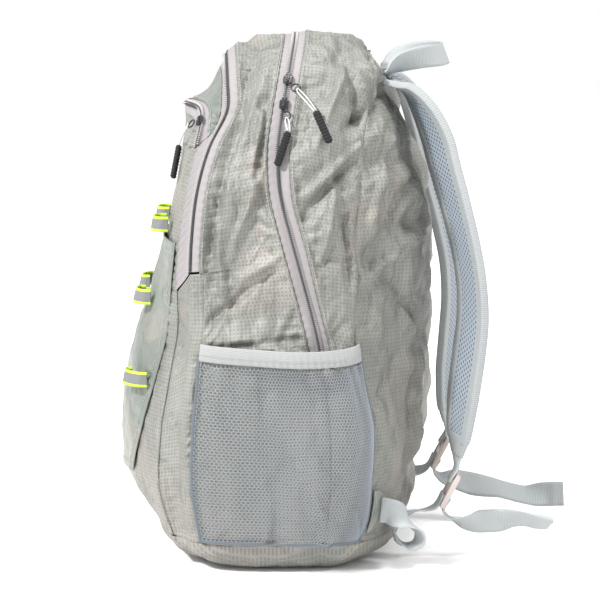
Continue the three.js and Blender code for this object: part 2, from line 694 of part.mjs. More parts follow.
function addZip(name, beside, from, half, frontHalfAt) {
  const tapeCells = (t) => [beside(-frontHalfAt(t), t), beside(0, t), beside(half, t)];
  addMesh(`${name}_zip_tape`, clothGeometry(overTheTop(from, tapeCells), 0, TAPE_THICK), finishes.tape);
  const chain = overTheTop(from, (t) => {
    const [front, middle, back] = tapeCells(t);
    const halfChain = CHAIN_WIDTH / 2;
    const edges = [between(middle, front, halfChain / frontHalfAt(t)), between(middle, back, halfChain / half)];
    return [edges[0], middle, edges[1]];
  });
  const lift = CHAIN_THICK + CHAIN_GAP;
  addMesh(`${name}_zip_chain`, clothGeometry(chain, lift, CHAIN_THICK), finishes.chain);
}

function buildZips() {
  addZip('main', besideMain, mainEnd + ZIP_START, tapeHalf, () => tapeHalf);
  const middleFront = (t) => Math.min(
    tapeHalf, bandLength(arches.frontSeam, arches.middleZip, t) - SEAM_GAP);
  addZip('middle', besideMiddle, middleEnd + ZIP_START, tapeHalf, middleFront);
  addZip('front', besideFront, frontEnd + ZIP_START, frontTapeHalf, () => frontTapeHalf);
}

// The rim's outline at the foot of the side panels, going round from the left of the front.
function rimOutline() {
  const right = [];
  const front = [];
  const back = [];
  for (let i = 0; i <= CAP_STEPS; i += 1) {
    const across = mix(-1, 1, i / CAP_STEPS);
    front.push(frontPoint(across, 0, 0));
    back.push(backPoint(-across, 0, 0));
  }
  right.push(slackPoint(1, 0));
  for (let i = 1; i <= BAND_STEPS; i += 1) right.push(frontBodyPoint(i / BAND_STEPS, 0));
  for (let i = 1; i < BAND_STEPS; i += 1) right.push(backBodyPoint(i / BAND_STEPS, 0));
  const left = right.map(mirrored).reverse();
  return [...front, ...right, ...back, ...left];
}

// The bottom panel: a flat base that rests on the floor and a rounded wall up to the rim.
function buildBottomPanel() {
  const rim = rimOutline().map((cell) => cell.point);
  const shift = BASE_SHIFT_SHARE * BAG_DEPTH;
  const base = rim.map((point) => new THREE.Vector3(
    point.x * BASE_WIDTH_SHARE, point.y * BASE_LENGTH_SHARE + shift, 0));
  const wallTop = RIM_HEIGHT - SEAM_GAP;
  const centre = new THREE.Vector3(0, shift, 0);
  const grid = [base.map(() => ({ point: centre, out: new THREE.Vector3(0, 0, -1) }))];
  for (let step = 0; step <= BASE_STEPS; step += 1) {
    const turn = (step / BASE_STEPS) * (Math.PI / 2);
    grid.push(rim.map((point, i) => {
      const level = new THREE.Vector3().subVectors(point, base[i]).setZ(0);
      const place = base[i].clone().addScaledVector(level, Math.sin(turn));
      place.z = wallTop * (1 - Math.cos(turn));
      const out = level.normalize().multiplyScalar(Math.sin(turn)).setZ(-Math.cos(turn));
      return { point: place, out };
    }));
  }
  addMesh('bottom_panel', clothGeometry(grid, 0, CLOTH, true), finishes.ripstop);
}

// The patch pocket on the front panel, held between two heights, with a free top edge.
function buildPatchPocket() {
  const from = arches.frontSeam.shareAtHeight(PATCH_BOTTOM);
  const to = arches.frontSeam.shareAtHeight(PATCH_TOP);
  const inside = CAP_UP.filter((t) => t > from + ROW_CLEAR && t < to - ROW_CLEAR);
  const ups = [from, ...inside, to];
  const grid = ups.map((t, row) => {
    const up = row / (ups.length - 1);
    const reach = PATCH_REACH * (1 - PATCH_CORNER * (1 - up) ** 3);
    const cells = [];
    for (let i = 0; i <= CAP_STEPS; i += 1) {
      const side = mix(-1, 1, i / CAP_STEPS);
      const cell = frontPoint(side * reach, t, seamHalf);
      cell.point.addScaledVector(cell.out, patchLift(side, up));
      cells.push(cell);
    }
    return cells;
  });
  addMesh('front_patch_pocket', clothGeometry(grid, 0, PATCH_CLOTH), finishes.lightCloth);
}

// The side panel's surface from the side seam (0) through the main zip's line to the back
// seam (1), at a share up.
function sideCells(t, endMargin) {
  const frontLength = bandLength(arches.middleZip, arches.mainZip, t);
  const backLength = bandLength(arches.mainZip, arches.backSeam, t);
  const first = (GUSSET_MARGIN + endMargin) / frontLength;
  const last = 1 - endMargin / backLength;
  const cells = [];
  for (let i = 0; i <= BAND_STEPS; i += 1) cells.push(frontBodyPoint(mix(first, 1, i / BAND_STEPS), t));
  for (let i = 1; i <= BAND_STEPS; i += 1) cells.push(backBodyPoint(mix(0, last, i / BAND_STEPS), t));
  return cells;
}

// The net side pocket and the elastic band along its mouth, standing off the side panel.
function pocketLift(share, up) {
  const across = Math.sin(Math.PI * share) ** 0.7;
  const full = POCKET_FULLNESS * Math.sin(Math.PI * Math.min(1, up * 0.86 + 0.02)) ** 0.6;
  const mouth = POCKET_MOUTH * up;
  return LAY_GAP + across * Math.max(full, mouth);
}

function pocketGrid(fromHeight, toHeight, steps, liftAt) {
  const from = arches.mainZip.shareAtHeight(fromHeight);
  const to = arches.mainZip.shareAtHeight(toHeight);
  const grid = [];
  for (let r = 0; r <= steps; r += 1) {
    const cells = sideCells(mix(from, to, r / steps), POCKET_INSET);
    grid.push(cells.map((cell, i) => {
      const share = i / (cells.length - 1);
      const point = cell.point.clone().addScaledVector(cell.out, liftAt(share, r / steps));
      return { point, out: cell.out };
    }));
  }
  return grid;
}

function buildSidePocket(side, place) {
  const lift = (share, up) => NET_THICK + pocketLift(share, up);
  const net = pocketGrid(POCKET_BOTTOM, POCKET_TOP, POCKET_STEPS, lift).map((row) => row.map(place));
  addMesh(`net_pocket_${side}`, clothGeometry(net, 0, NET_THICK), finishes.net);
  const from = POCKET_TOP + SEAM_GAP;
  const bandLift = (share) => ELASTIC_THICK + pocketLift(share, 1);
  const band = pocketGrid(from, from + ELASTIC_HEIGHT, 1, bandLift).map((row) => row.map(place));
  addMesh(`elastic_band_${side}`, clothGeometry(band, 0, ELASTIC_THICK), finishes.webbing);
}

// A strip or cord along a route, with a section of points as across and through. The far
// half's quads split the other way, so that a twisting strip's two faces stay parallel.
function sweepGeometry(route, section, stepsEach) {
  const curve = new THREE.CatmullRomCurve3(route.map((stop) => stop.place), false, 'centripetal');
  const last = route.length - 1;
  const rings = [];
  for (let i = 0; i <= last * stepsEach; i += 1) {
    const along = i / (last * stepsEach);
    const from = Math.min(last - 1, Math.floor(along * last));
    const share = along * last - from;
    const [a, b] = [route[from], route[from + 1]];
    const tangent = curve.getTangent(along);
    const across = a.face.clone().lerp(b.face, share);
    across.addScaledVector(tangent, -across.dot(tangent)).normalize();
    const through = new THREE.Vector3().crossVectors(tangent, across);
    const breadth = mix(a.breadth, b.breadth, share);
    const bulk = mix(a.bulk, b.bulk, share);
    const centre = curve.getPoint(along);
    rings.push(section.map(([wide, thick]) => (
      centre.clone().addScaledVector(across, wide * breadth).addScaledVector(through, thick * bulk))));
  }
  const faces = [];
  const sides = section.length;
  for (let r = 0; r < rings.length - 1; r += 1) {
    for (let c = 0; c < sides; c += 1) {
      const n = (c + 1) % sides;
      const quad = [rings[r][c], rings[r][n], rings[r + 1][n], rings[r + 1][c]];
      if (c >= sides / 2) quad.push(quad.shift());
      faces.push(quad);
    }
  }
  const [first, end] = [rings[0], rings[rings.length - 1]];
  for (let c = 1; c < sides - 1; c += 1) {
    faces.push([first[0], first[c + 1], first[c]]);
    faces.push([end[0], end[c], end[c + 1]]);
  }
  return closedGeometry(faces);
}

const flatSection = (width, thick) => [
  [-width / 2, -thick / 2], [width / 2, -thick / 2], [width / 2, thick / 2], [-width / 2, thick / 2]];

function paddedSection(width, thick) {
  const points = [];
  for (let i = 0; i < PADDED_SIDES; i += 1) {
    const angle = ((i + 0.5) / PADDED_SIDES) * Math.PI * 2;
    const bend = (value) => Math.sign(value) * Math.abs(value) ** 0.5;
    points.push([bend(Math.cos(angle)) * width / 2, bend(Math.sin(angle)) * thick / 2]);
  }
  return points;
}

function roundSection(diameter, sides) {
  const points = [];
  for (let i = 0; i < sides; i += 1) {
    const angle = (i / sides) * Math.PI * 2;
    points.push([Math.cos(angle) * diameter / 2, Math.sin(angle) * diameter / 2]);
  }
  return points;
}

const shared = ({ across, place, height }) => new THREE.Vector3(
  across * HALF_WIDTH, place * BAG_DEPTH, height * BAG_HEIGHT);

function routeOf(rows, side = 1) {
  return rows.map((row) => {
    const place = shared(row);
    place.x *= side;
    const face = new THREE.Vector3(...row.face);
    face.x *= side;
    return { place, face, breadth: row.breadth ?? 1, bulk: row.bulk ?? 1 };
  });
}

const plainStop = (place, face) => ({ place, face, breadth: 1, bulk: 1 });

const lockSlotPlace = LOCK_SLOT / 2 + LOCK_BAR * 0.75;

// A stop beside the ladder lock: along it, and off its face towards the bag's front.
function lockStop(sign, along, off, end = {}) {
  const place = shared(LOCK_CENTRE);
  const tilt = radians(LOCK_TILT);
  place.x *= sign;
  place.y += along * Math.sin(tilt) - off * Math.cos(tilt);
  place.z += along * Math.cos(tilt) + off * Math.sin(tilt);
  return { place, face: new THREE.Vector3(sign, 0, 0), breadth: end.breadth ?? 1, bulk: end.bulk ?? 1 };
}

function buildStraps() {
  const edge = LOCK_LENGTH / 2 + LOCK_EDGE_LEAD;
  const strapOff = LOCK_THICK / 2 + LAY_GAP + (STRAP_THICK * STRAP_END.bulk) / 2;
  const flatOff = LOCK_THICK / 2 + LAY_GAP + WEBBING_THICK / 2;
  for (const [side, sign] of [['right', 1], ['left', -1]]) {
    const strap = routeOf(STRAP_ROUTE, sign);
    strap.forEach((stop, i) => {
      const along = Math.sin((Math.PI * i) / (strap.length - 1));
      if (sign < 0) stop.place.y += LEFT_STRAP_SHIFT * BAG_DEPTH * along;
    });
    const strapEnds = [edge, lockSlotPlace].map((along) => lockStop(sign, along, strapOff, STRAP_END));
    const padded = paddedSection(STRAP_WIDTH, STRAP_THICK);
    addMesh(`shoulder_strap_${side}`, sweepGeometry([...strap, ...strapEnds], padded, 2), finishes.padding);
    const flat = flatSection(WEBBING_WIDTH, WEBBING_THICK);
    const lowEnds = [-edge, -lockSlotPlace].map((along) => lockStop(sign, along, flatOff));
    const low = sweepGeometry([...routeOf(WEBBING_ROUTE, sign), ...lowEnds], flat, 2);
    addMesh(`lower_webbing_${side}`, low, finishes.webbing);
    const tailRows = sign > 0 ? RIGHT_TAIL_ROUTE : LEFT_TAIL_ROUTE;
    const tailStarts = [-lockSlotPlace, -edge].map((along) => lockStop(sign, along, -flatOff - SEAM_GAP));
    const tail = sweepGeometry([...tailStarts, ...routeOf(tailRows, sign)], flat, 2);
    addMesh(`strap_tail_${side}`, tail, finishes.webbing);
    buildLock(side, sign);
    buildTab(side, sign > 0 ? (cell) => cell : mirrored);
  }
}

// The ladder lock: a frame with two slots for the webbing.
function buildLock(side, sign) {
  const [halfWide, halfLong] = [LOCK_WIDTH / 2, LOCK_LENGTH / 2];
  const outline = new THREE.Shape([
    new THREE.Vector2(-halfWide, -halfLong), new THREE.Vector2(halfWide, -halfLong),
    new THREE.Vector2(halfWide, halfLong), new THREE.Vector2(-halfWide, halfLong)]);
  for (const middle of [-1, 1]) {
    const up = middle * lockSlotPlace;
    const wide = halfWide - LOCK_BAR;
    const tall = LOCK_SLOT / 2;
    outline.holes.push(new THREE.Path([
      new THREE.Vector2(-wide, up - tall), new THREE.Vector2(-wide, up + tall),
      new THREE.Vector2(wide, up + tall), new THREE.Vector2(wide, up - tall)]));
  }
  const geometry = new THREE.ExtrudeGeometry(outline, { depth: LOCK_THICK, bevelEnabled: false });
  geometry.translate(0, 0, -LOCK_THICK / 2);
  const lock = addMesh(`ladder_lock_${side}`, geometry, finishes.plastic);
  lock.position.copy(shared(LOCK_CENTRE));
  lock.position.x *= sign;
  lock.rotation.set(radians(90 - LOCK_TILT), 0, 0);
}

function buildTab(side, place) {
  const grid = [];
  for (let i = 0; i <= TAB_STEPS; i += 1) {
    const share = i / TAB_STEPS;
    const t = arches.backSeam.shareAtHeight(mix(TAB_BOTTOM, TAB_TOP, share));
    const width = mix(TAB_NARROW, TAB_WIDE, 1 - Math.abs(2 * share - 1));
    const row = [0, 0.5, 1].map((inward) => place(backPoint(TAB_EDGE - inward * width, t, seamHalf)));
    grid.push(place === mirrored ? row.reverse() : row);
  }
  addMesh(`corner_tab_${side}`, clothGeometry(grid, CLOTH + LAY_GAP, CLOTH), finishes.ripstop);
}

function buildHandle() {
  const right = routeOf(HANDLE_ROUTE);
  const left = routeOf(HANDLE_ROUTE, -1).reverse().slice(1);
  const section = flatSection(WEBBING_WIDTH * HANDLE_SHARE, WEBBING_THICK);
  addMesh('grab_handle', sweepGeometry([...right, ...left], section, 2), finishes.webbing);
}

function patchLift(side, up) {
  const rise = Math.sin(Math.PI * mix(PATCH_HEM, 1 - PATCH_HEM, up));
  return PATCH_CLOTH + PATCH_LIFT + PATCH_SWELL * (1 - side ** 4) * rise;
}

// A point of the front where a lash loop is sewn, clear of the patch pocket if that is there.
function lashSpot(across, height, stand) {
  const up = (height - PATCH_BOTTOM) / (PATCH_TOP - PATCH_BOTTOM);
  const cell = frontPoint(across, arches.frontSeam.shareAtHeight(height), seamHalf);
  const onPatch = up < 1 ? patchLift(Math.abs(across) / PATCH_REACH, up) : 0;
  return cell.point.addScaledVector(cell.out, onPatch + stand);
}

function buildLashLoops() {
  for (const [side, sign] of [['right', 1], ['left', -1]]) {
    LASH_LOOPS.forEach((row, i) => {
      const height = row.height * BAG_HEIGHT;
      const legs = arches.frontSeam.at(arches.frontSeam.shareAtHeight(height)).x;
      const roots = [row.across, row.across - LASH_SPAN / legs].map((across) => ({
        low: lashSpot(sign * across, height - LASH_WIDTH / 2, row.stand),
        high: lashSpot(sign * across, height + LASH_WIDTH / 2, row.stand),
      }));
      const route = LASH_BEND.map(([share, out]) => {
        const low = roots[0].low.clone().lerp(roots[1].low, share);
        const high = roots[0].high.clone().lerp(roots[1].high, share);
        const place = low.clone().lerp(high, 0.5);
        place.y -= out * row.reach;
        return plainStop(place, high.sub(low).normalize());
      });
      const strip = sweepGeometry(route, flatSection(LASH_WIDTH, LASH_THICK), 2);
      addMesh(`lash_loop_${side}_${i + 1}`, strip, finishes.lash);
    });
  }
}

// The side's surface at a place and height, found by moving up or down its arches.
function sideSurface(place, height) {
  let t = arches.mainZip.shareAtHeight(height);
  let cell = null;
  for (let i = 0; i < SEARCH_STEPS; i += 1) {
    const [front, main, back] = ['middleZip', 'mainZip', 'backSeam'].map((name) => arches[name].at(t).y);
    if (place < front) {
      const seam = arches.frontSeam.at(t).y;
      cell = slackPoint(clamp01((place - seam) / (front - seam)), t);
    } else if (place < main) cell = frontBodyPoint((place - front) / (main - front), t);
    else cell = backBodyPoint((place - main) / (back - main), t);
    t = clamp01(t + (height - cell.point.z) / (BAG_HEIGHT + HALF_WIDTH));
  }
  return cell;
}

function frontSurface(place, height) {
  const t = arches.frontSeam.shareAtHeight(height);
  const [middle, seam] = [sideView('front', height), arches.frontSeam.at(t).y];
  const spread = clamp01((place - middle) / (seam - middle)) ** (1 / FRONT_ROUNDNESS);
  return frontPoint(spread, t, seamHalf);
}

function buildPulls() {
  for (const pull of PULLS) {
    const arch = arches[pull.zip];
    const t = arch.shareAtHeight(pull.slider * BAG_HEIGHT);
    const beside = { mainZip: besideMain, middleZip: besideMiddle, frontSeam: besideFront }[pull.zip];
    const seat = beside(0, t);
    const surface = pull.zip === 'frontSeam' ? frontSurface : sideSurface;
    const spot = ([place, height]) => {
      const cell = surface(place * BAG_DEPTH, height * BAG_HEIGHT);
      return cell.point.addScaledVector(cell.out, pull.lift);
    };
    const [cordEnd, gripEnd] = [spot(pull.cord), spot(pull.grip)];
    const ahead = beside(0, t + TANGENT_STEP).point;
    const parts = pullParts(seat, ahead, cordEnd, gripEnd, pull.stand);
    for (const [part, { geometry, finish }] of Object.entries(parts)) {
      if (pull.side === 'left') geometry.applyMatrix4(new THREE.Matrix4().makeScale(-1, 1, 1));
      if (pull.side === 'left') flipFaces(geometry);
      addMesh(`${pull.name}_${part}`, geometry, finish);
    }
  }
}

function flipFaces(geometry) {
  const index = geometry.index.array;
  for (let i = 0; i < index.length; i += 3) [index[i], index[i + 1]] = [index[i + 1], index[i]];
}

// A slider on its chain, a wire ring, a thin cord and a moulded grip.
function pullParts(seat, ahead, cordEnd, gripEnd, stand) {
  const rise = CHAIN_GAP + CHAIN_THICK + stand + SLIDER_THICK / 2;
  const centre = seat.point.clone().addScaledVector(seat.out, rise);
  const along = ahead.clone().sub(seat.point).normalize();
  const out = seat.out.clone().addScaledVector(along, -seat.out.dot(along)).normalize();
  const across = new THREE.Vector3().crossVectors(along, out);
  const [long, wide] = [SLIDER_LENGTH / 2, SLIDER_WIDTH / 2];
  const outline = new THREE.Shape([
    new THREE.Vector2(-wide * SLIDER_TAIL, -long), new THREE.Vector2(wide * SLIDER_TAIL, -long),
    new THREE.Vector2(wide, long * SLIDER_WIDEST), new THREE.Vector2(wide * SLIDER_NOSE, long),
    new THREE.Vector2(-wide * SLIDER_NOSE, long), new THREE.Vector2(-wide, long * SLIDER_WIDEST)]);
  const slider = new THREE.ExtrudeGeometry(outline, { depth: SLIDER_THICK, bevelEnabled: false });
  slider.translate(0, 0, -SLIDER_THICK / 2);
  slider.applyMatrix4(new THREE.Matrix4().makeBasis(across, along, out).setPosition(centre));
  const lead = cordEnd.clone().sub(centre);
  lead.addScaledVector(out, -lead.dot(out)).normalize();
  const ringOut = RING_RADIUS + RING_WIRE;
  const edge = Math.abs(lead.dot(along)) * long + Math.abs(lead.dot(across)) * wide;
  const ringCentre = centre.clone().addScaledVector(lead, edge + SEAM_GAP + ringOut);
  const ring = new THREE.TorusGeometry(RING_RADIUS, RING_WIRE, RING_SIDES, RING_STEPS);
  const ringAcross = new THREE.Vector3().crossVectors(lead, out);
  ring.applyMatrix4(new THREE.Matrix4().makeBasis(ringAcross, lead, out).setPosition(ringCentre));
  const start = ringCentre.clone().addScaledVector(lead, ringOut + SEAM_GAP);
  const gripDown = gripEnd.clone().sub(cordEnd).normalize();
  const middle = start.clone().lerp(cordEnd, 0.5).addScaledVector(out, PULL_CORD / 2);
  const stops = [start, middle, cordEnd].map((place) => plainStop(place, ringAcross));
  const cord = sweepGeometry(stops, roundSection(PULL_CORD, CORD_SIDES), 3);
  const gripStart = cordEnd.clone().addScaledVector(gripDown, SEAM_GAP + PULL_CORD / 4);
  const gripStops = GRIP_SHAPE.map(({ share, size }) => ({
    place: gripStart.clone().addScaledVector(gripDown, share * GRIP_LENGTH),
    face: new THREE.Vector3().crossVectors(gripDown, out),
    breadth: size,
    bulk: size,
  }));
  const grip = sweepGeometry(gripStops, paddedSection(GRIP_WIDTH, GRIP_THICK), 1);
  return {
    slider: { geometry: closedFrom(slider), finish: finishes.metal },
    pull_ring: { geometry: closedFrom(ring), finish: finishes.metal },
    pull_cord: { geometry: cord, finish: finishes.cord },
    pull_grip: { geometry: grip, finish: finishes.rubber },
  };
}

// The same closed geometry with shared corners and an index.
function closedFrom(geometry) {
  geometry.deleteAttribute('normal');
  geometry.deleteAttribute('uv');
  const merged = mergeVertices(geometry, 1e-4);
  merged.computeVertexNormals();
  return merged;
}

buildBodyPanels();
buildCaps();
buildGussets();
buildSlackPanel();
buildZips();
buildBottomPanel();
buildPatchPocket();
buildSidePocket('right', (cell) => cell);
buildSidePocket('left', mirrored);
buildStraps();
buildHandle();
buildLashLoops();
buildPulls();

export default group;
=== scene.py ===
"""A light packable backpack, stuffed and standing by itself, built over its CAD frame.

Sizes are millimetres until a mesh is made, and metres in Blender. +Z is up, the front pockets are
towards -Y, the straps towards +Y, and +X is the wearer's right, which the camera looks at.
"""

from __future__ import annotations

import itertools
import logging
import math
from collections.abc import Callable, Sequence
from dataclasses import dataclass, field
from enum import Enum

import bpy
import numpy as np
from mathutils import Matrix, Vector


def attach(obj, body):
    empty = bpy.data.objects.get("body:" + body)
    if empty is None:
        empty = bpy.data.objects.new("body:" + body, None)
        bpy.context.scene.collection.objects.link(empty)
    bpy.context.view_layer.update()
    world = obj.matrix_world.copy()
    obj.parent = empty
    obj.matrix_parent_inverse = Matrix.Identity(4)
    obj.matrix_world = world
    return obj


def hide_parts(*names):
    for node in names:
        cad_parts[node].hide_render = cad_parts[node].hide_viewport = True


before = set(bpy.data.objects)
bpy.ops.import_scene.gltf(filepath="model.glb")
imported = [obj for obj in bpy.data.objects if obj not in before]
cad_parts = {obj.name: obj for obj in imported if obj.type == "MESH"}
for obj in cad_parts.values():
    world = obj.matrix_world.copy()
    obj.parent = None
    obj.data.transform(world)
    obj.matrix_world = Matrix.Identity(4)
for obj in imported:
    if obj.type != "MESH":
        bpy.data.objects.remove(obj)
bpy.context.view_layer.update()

log = logging.getLogger("backpack")

MM = 0.001
TINY = 1e-6
CLOSE_PAIR = 0.0006
TURN = 2 * math.pi
BODY = "root"
UV_NAME = "cloth"

Object = bpy.types.Object
Material = bpy.types.Material
Socket = bpy.types.NodeSocket
Grid = np.ndarray
Cells = tuple[np.ndarray, np.ndarray]
Surface = Callable[[Grid, Grid], Cells]
Along = Callable[[Grid], Grid]


class Side(Enum):
    """The wearer's side that a piece is on."""

    RIGHT = 1
    LEFT = -1

    @property
    def word(self) -> str:
        """The word that the CAD node's name ends with."""
        return self.name.lower()


# Numbers and noise


def mix(a: np.ndarray | float, b: np.ndarray | float, share: np.ndarray | float) -> np.ndarray | float:
    """A value between a and b at a share of the way."""
    return a + (b - a) * share


def clamp(value: np.ndarray | float) -> np.ndarray:
    """A value kept between nothing and one."""
    return np.clip(value, 0, 1)


def arc(share: np.ndarray | float) -> np.ndarray:
    """Half a sine wave: one in the middle of the way and nothing at its ends."""
    return np.sin(math.pi * share)


def unit(vectors: np.ndarray) -> np.ndarray:
    """The same vectors with a length of one."""
    return vectors / np.maximum(np.linalg.norm(vectors, axis=-1, keepdims=True), TINY)


def fade(distance: np.ndarray, reach: float) -> np.ndarray:
    """One at a distance of nothing, falling smoothly to about a third at the reach."""
    return np.exp(-((distance / reach) ** 2))


HASH_STEPS = np.array([374761393, 668265263, 1442695041])
HASH_SEED_STEP = 974634777
HASH_MIX = 1274126177
HASH_MASK = 0xFFFF
CREASE_SHARPNESS = 2.2
CENTRE_JITTER = 0.45


def hashed(cells: np.ndarray, seed: int) -> np.ndarray:
    """A fixed pseudo-random number from -1 to 1 for each cell of a lattice, from its mixed bits."""
    mixed = cells @ HASH_STEPS + seed * HASH_SEED_STEP
    mixed = (mixed ^ (mixed >> 13)) * HASH_MIX
    mixed = mixed ^ (mixed >> 16)
    return (mixed & HASH_MASK) / (HASH_MASK / 2) - 1.0


def noise(points: np.ndarray, size: float, seed: int) -> np.ndarray:
    """Smooth noise from -1 to 1: lattice values blended with a smoothstep in each direction.

    Args:
        points: Places in millimetres.
        size: The lattice's pitch in millimetres.
        seed: Which noise it is.

    Returns:
        One value for each point.
    """
    scaled = points / size
    base = np.floor(scaled).astype(np.int64)
    part = scaled - base
    part = part * part * (3 - 2 * part)
    total = np.zeros(points.shape[:-1])
    for corner in itertools.product((0, 1), repeat=3):
        weight = np.prod(np.where(np.array(corner) == 1, part, 1 - part), axis=-1)
        total += weight * hashed(base + np.array(corner), seed)
    return total


def creases(points: np.ndarray, size: float, seed: int) -> np.ndarray:
    """Sharp ridge lines where smooth noise crosses zero: one on the line, falling to nothing."""
    return np.maximum(0, 1 - CREASE_SHARPNESS * np.abs(noise(points, size, seed)))


def facets(points: np.ndarray, size: float, seed: int) -> np.ndarray:
    """Crumpled facets: the second nearest scattered centre's distance less the nearest one's.

    Args:
        points: Places in millimetres.
        size: The pitch of the scattered centres in millimetres.
        seed: Which scatter it is.

    Returns:
        Nothing along the creases between centres, rising to about one at a centre.
    """
    scaled = points / size
    base = np.floor(scaled).astype(np.int64)
    best = np.full(points.shape[:-1], np.inf)
    second = best.copy()
    for step in itertools.product((-1, 0, 1), repeat=3):
        cell = base + np.array(step)
        jitter = np.stack([hashed(cell, seed + k) for k in range(3)], axis=-1)
        away = np.linalg.norm(scaled - (cell + 0.5 + CENTRE_JITTER * jitter), axis=-1)
        second = np.minimum(second, np.maximum(best, away))
        best = np.minimum(best, away)
    return second - best


# The bag's shape


@dataclass(frozen=True)
class BagSizes:
    """The bag's sizes in millimetres, and shares of them."""

    height: float = 512
    depth: float = 304
    width: float = 300
    rim_height: float = 30
    widest_share: float = 0.43
    base_narrowing: float = 0.14
    cloth: float = 1.2
    tape_half: float = 11
    front_tape_half: float = 8
    zip_margin: float = 10.6
    gusset: float = 15
    main_zip_end: float = 205.8
    middle_zip_end: float = 291.8
    slack_corner: float = 3
    pocket_bottom: float = 33
    pocket_top: float = 211
    pocket_fullness: float = 15
    pocket_mouth: float = 10
    elastic_height: float = 15
    patch_bottom: float = 88
    patch_top: float = 318
    base_shift: float = 0.041
    base_across: float = 0.72
    base_along: float = 0.515

    @property
    def half_width(self) -> float:
        """Half the bag's width."""
        return self.width / 2

    @property
    def scale(self) -> np.ndarray:
        """What across, place and height shares are multiplied by."""
        return np.array([self.half_width, self.depth, self.height])


# Places from front to back, as shares of the depth, by height as a share of the height.
SIDE_COLUMNS = ("height", "front", "frontSeam", "middleZip", "mainZip", "backSeam", "back")
SIDE_ROWS = np.array([
    [0.059, -0.375, -0.316, -0.263, 0.171, 0.276, 0.431],
    [0.107, -0.431, -0.342, -0.276, 0.181, 0.303, 0.464],
    [0.166, -0.484, -0.362, -0.289, 0.191, 0.313, 0.480],
    [0.273, -0.477, -0.352, -0.283, 0.188, 0.319, 0.513],
    [0.352, -0.457, -0.329, -0.270, 0.174, 0.293, 0.526],
    [0.449, -0.414, -0.303, -0.257, 0.148, 0.273, 0.530],
    [0.566, -0.362, -0.296, -0.250, 0.099, 0.296, 0.526],
    [0.645, -0.336, -0.283, -0.243, 0.063, 0.276, 0.520],
    [0.723, -0.309, -0.263, -0.227, 0.030, 0.289, 0.503],
    [0.801, -0.289, -0.230, -0.191, 0.023, 0.299, 0.461],
    [0.869, -0.280, -0.197, -0.135, 0.036, 0.316, 0.414],
    [0.918, -0.280, -0.197, -0.132, 0.049, 0.339, 0.368],
    [0.967, -0.280, -0.197, -0.138, 0.063, 0.322, 0.322],
    [1.000, -0.280, -0.197, -0.148, 0.076, 0.319, 0.319],
])


def side_view(column: str, height: np.ndarray, bag: BagSizes) -> np.ndarray:
    """A smooth place from the side view: cubic Hermite between rows, with the neighbours' slopes.

    Args:
        column: The column's name.
        height: Heights in millimetres.
        bag: The bag's sizes.

    Returns:
        Places from front to back in millimetres.
    """
    rows = SIDE_ROWS[:, [0, SIDE_COLUMNS.index(column)]]
    share = height / bag.height
    last = len(rows) - 1
    at = np.clip(np.searchsorted(rows[:, 0], share, side="left") - 1, 0, last - 1)
    before, start, end, after = (rows[np.clip(at + k, 0, last)] for k in (-1, 0, 1, 2))
    span = end[..., 0] - start[..., 0]
    slope_in = (end[..., 1] - before[..., 1]) / (end[..., 0] - before[..., 0])
    slope_out = (after[..., 1] - start[..., 1]) / (after[..., 0] - start[..., 0])
    s = clamp((share - start[..., 0]) / span)
    value = (
        (2 * s**3 - 3 * s**2 + 1) * start[..., 1]
        + (s**3 - 2 * s**2 + s) * span * slope_in
        + (3 * s**2 - 2 * s**3) * end[..., 1]
        + (s**3 - s**2) * span * slope_out
    )
    return value * bag.depth


def mirrored(cells: Cells) -> Cells:
    """The same cells on the bag's other side."""
    flip = np.array([-1, 1, 1])
    return cells[0] * flip, cells[1] * flip


def on_side(side: Side, cells: Cells) -> Cells:
    """Cells of the right side, on the side that is asked for."""
    return cells if side is Side.RIGHT else mirrored(cells)


def picked(chosen: Grid, first: Cells, second: Cells) -> Cells:
    """The first cells where chosen, and the second ones elsewhere."""
    point, out = (np.where(chosen[..., None], a, b) for a, b in zip(first, second))
    return point, out


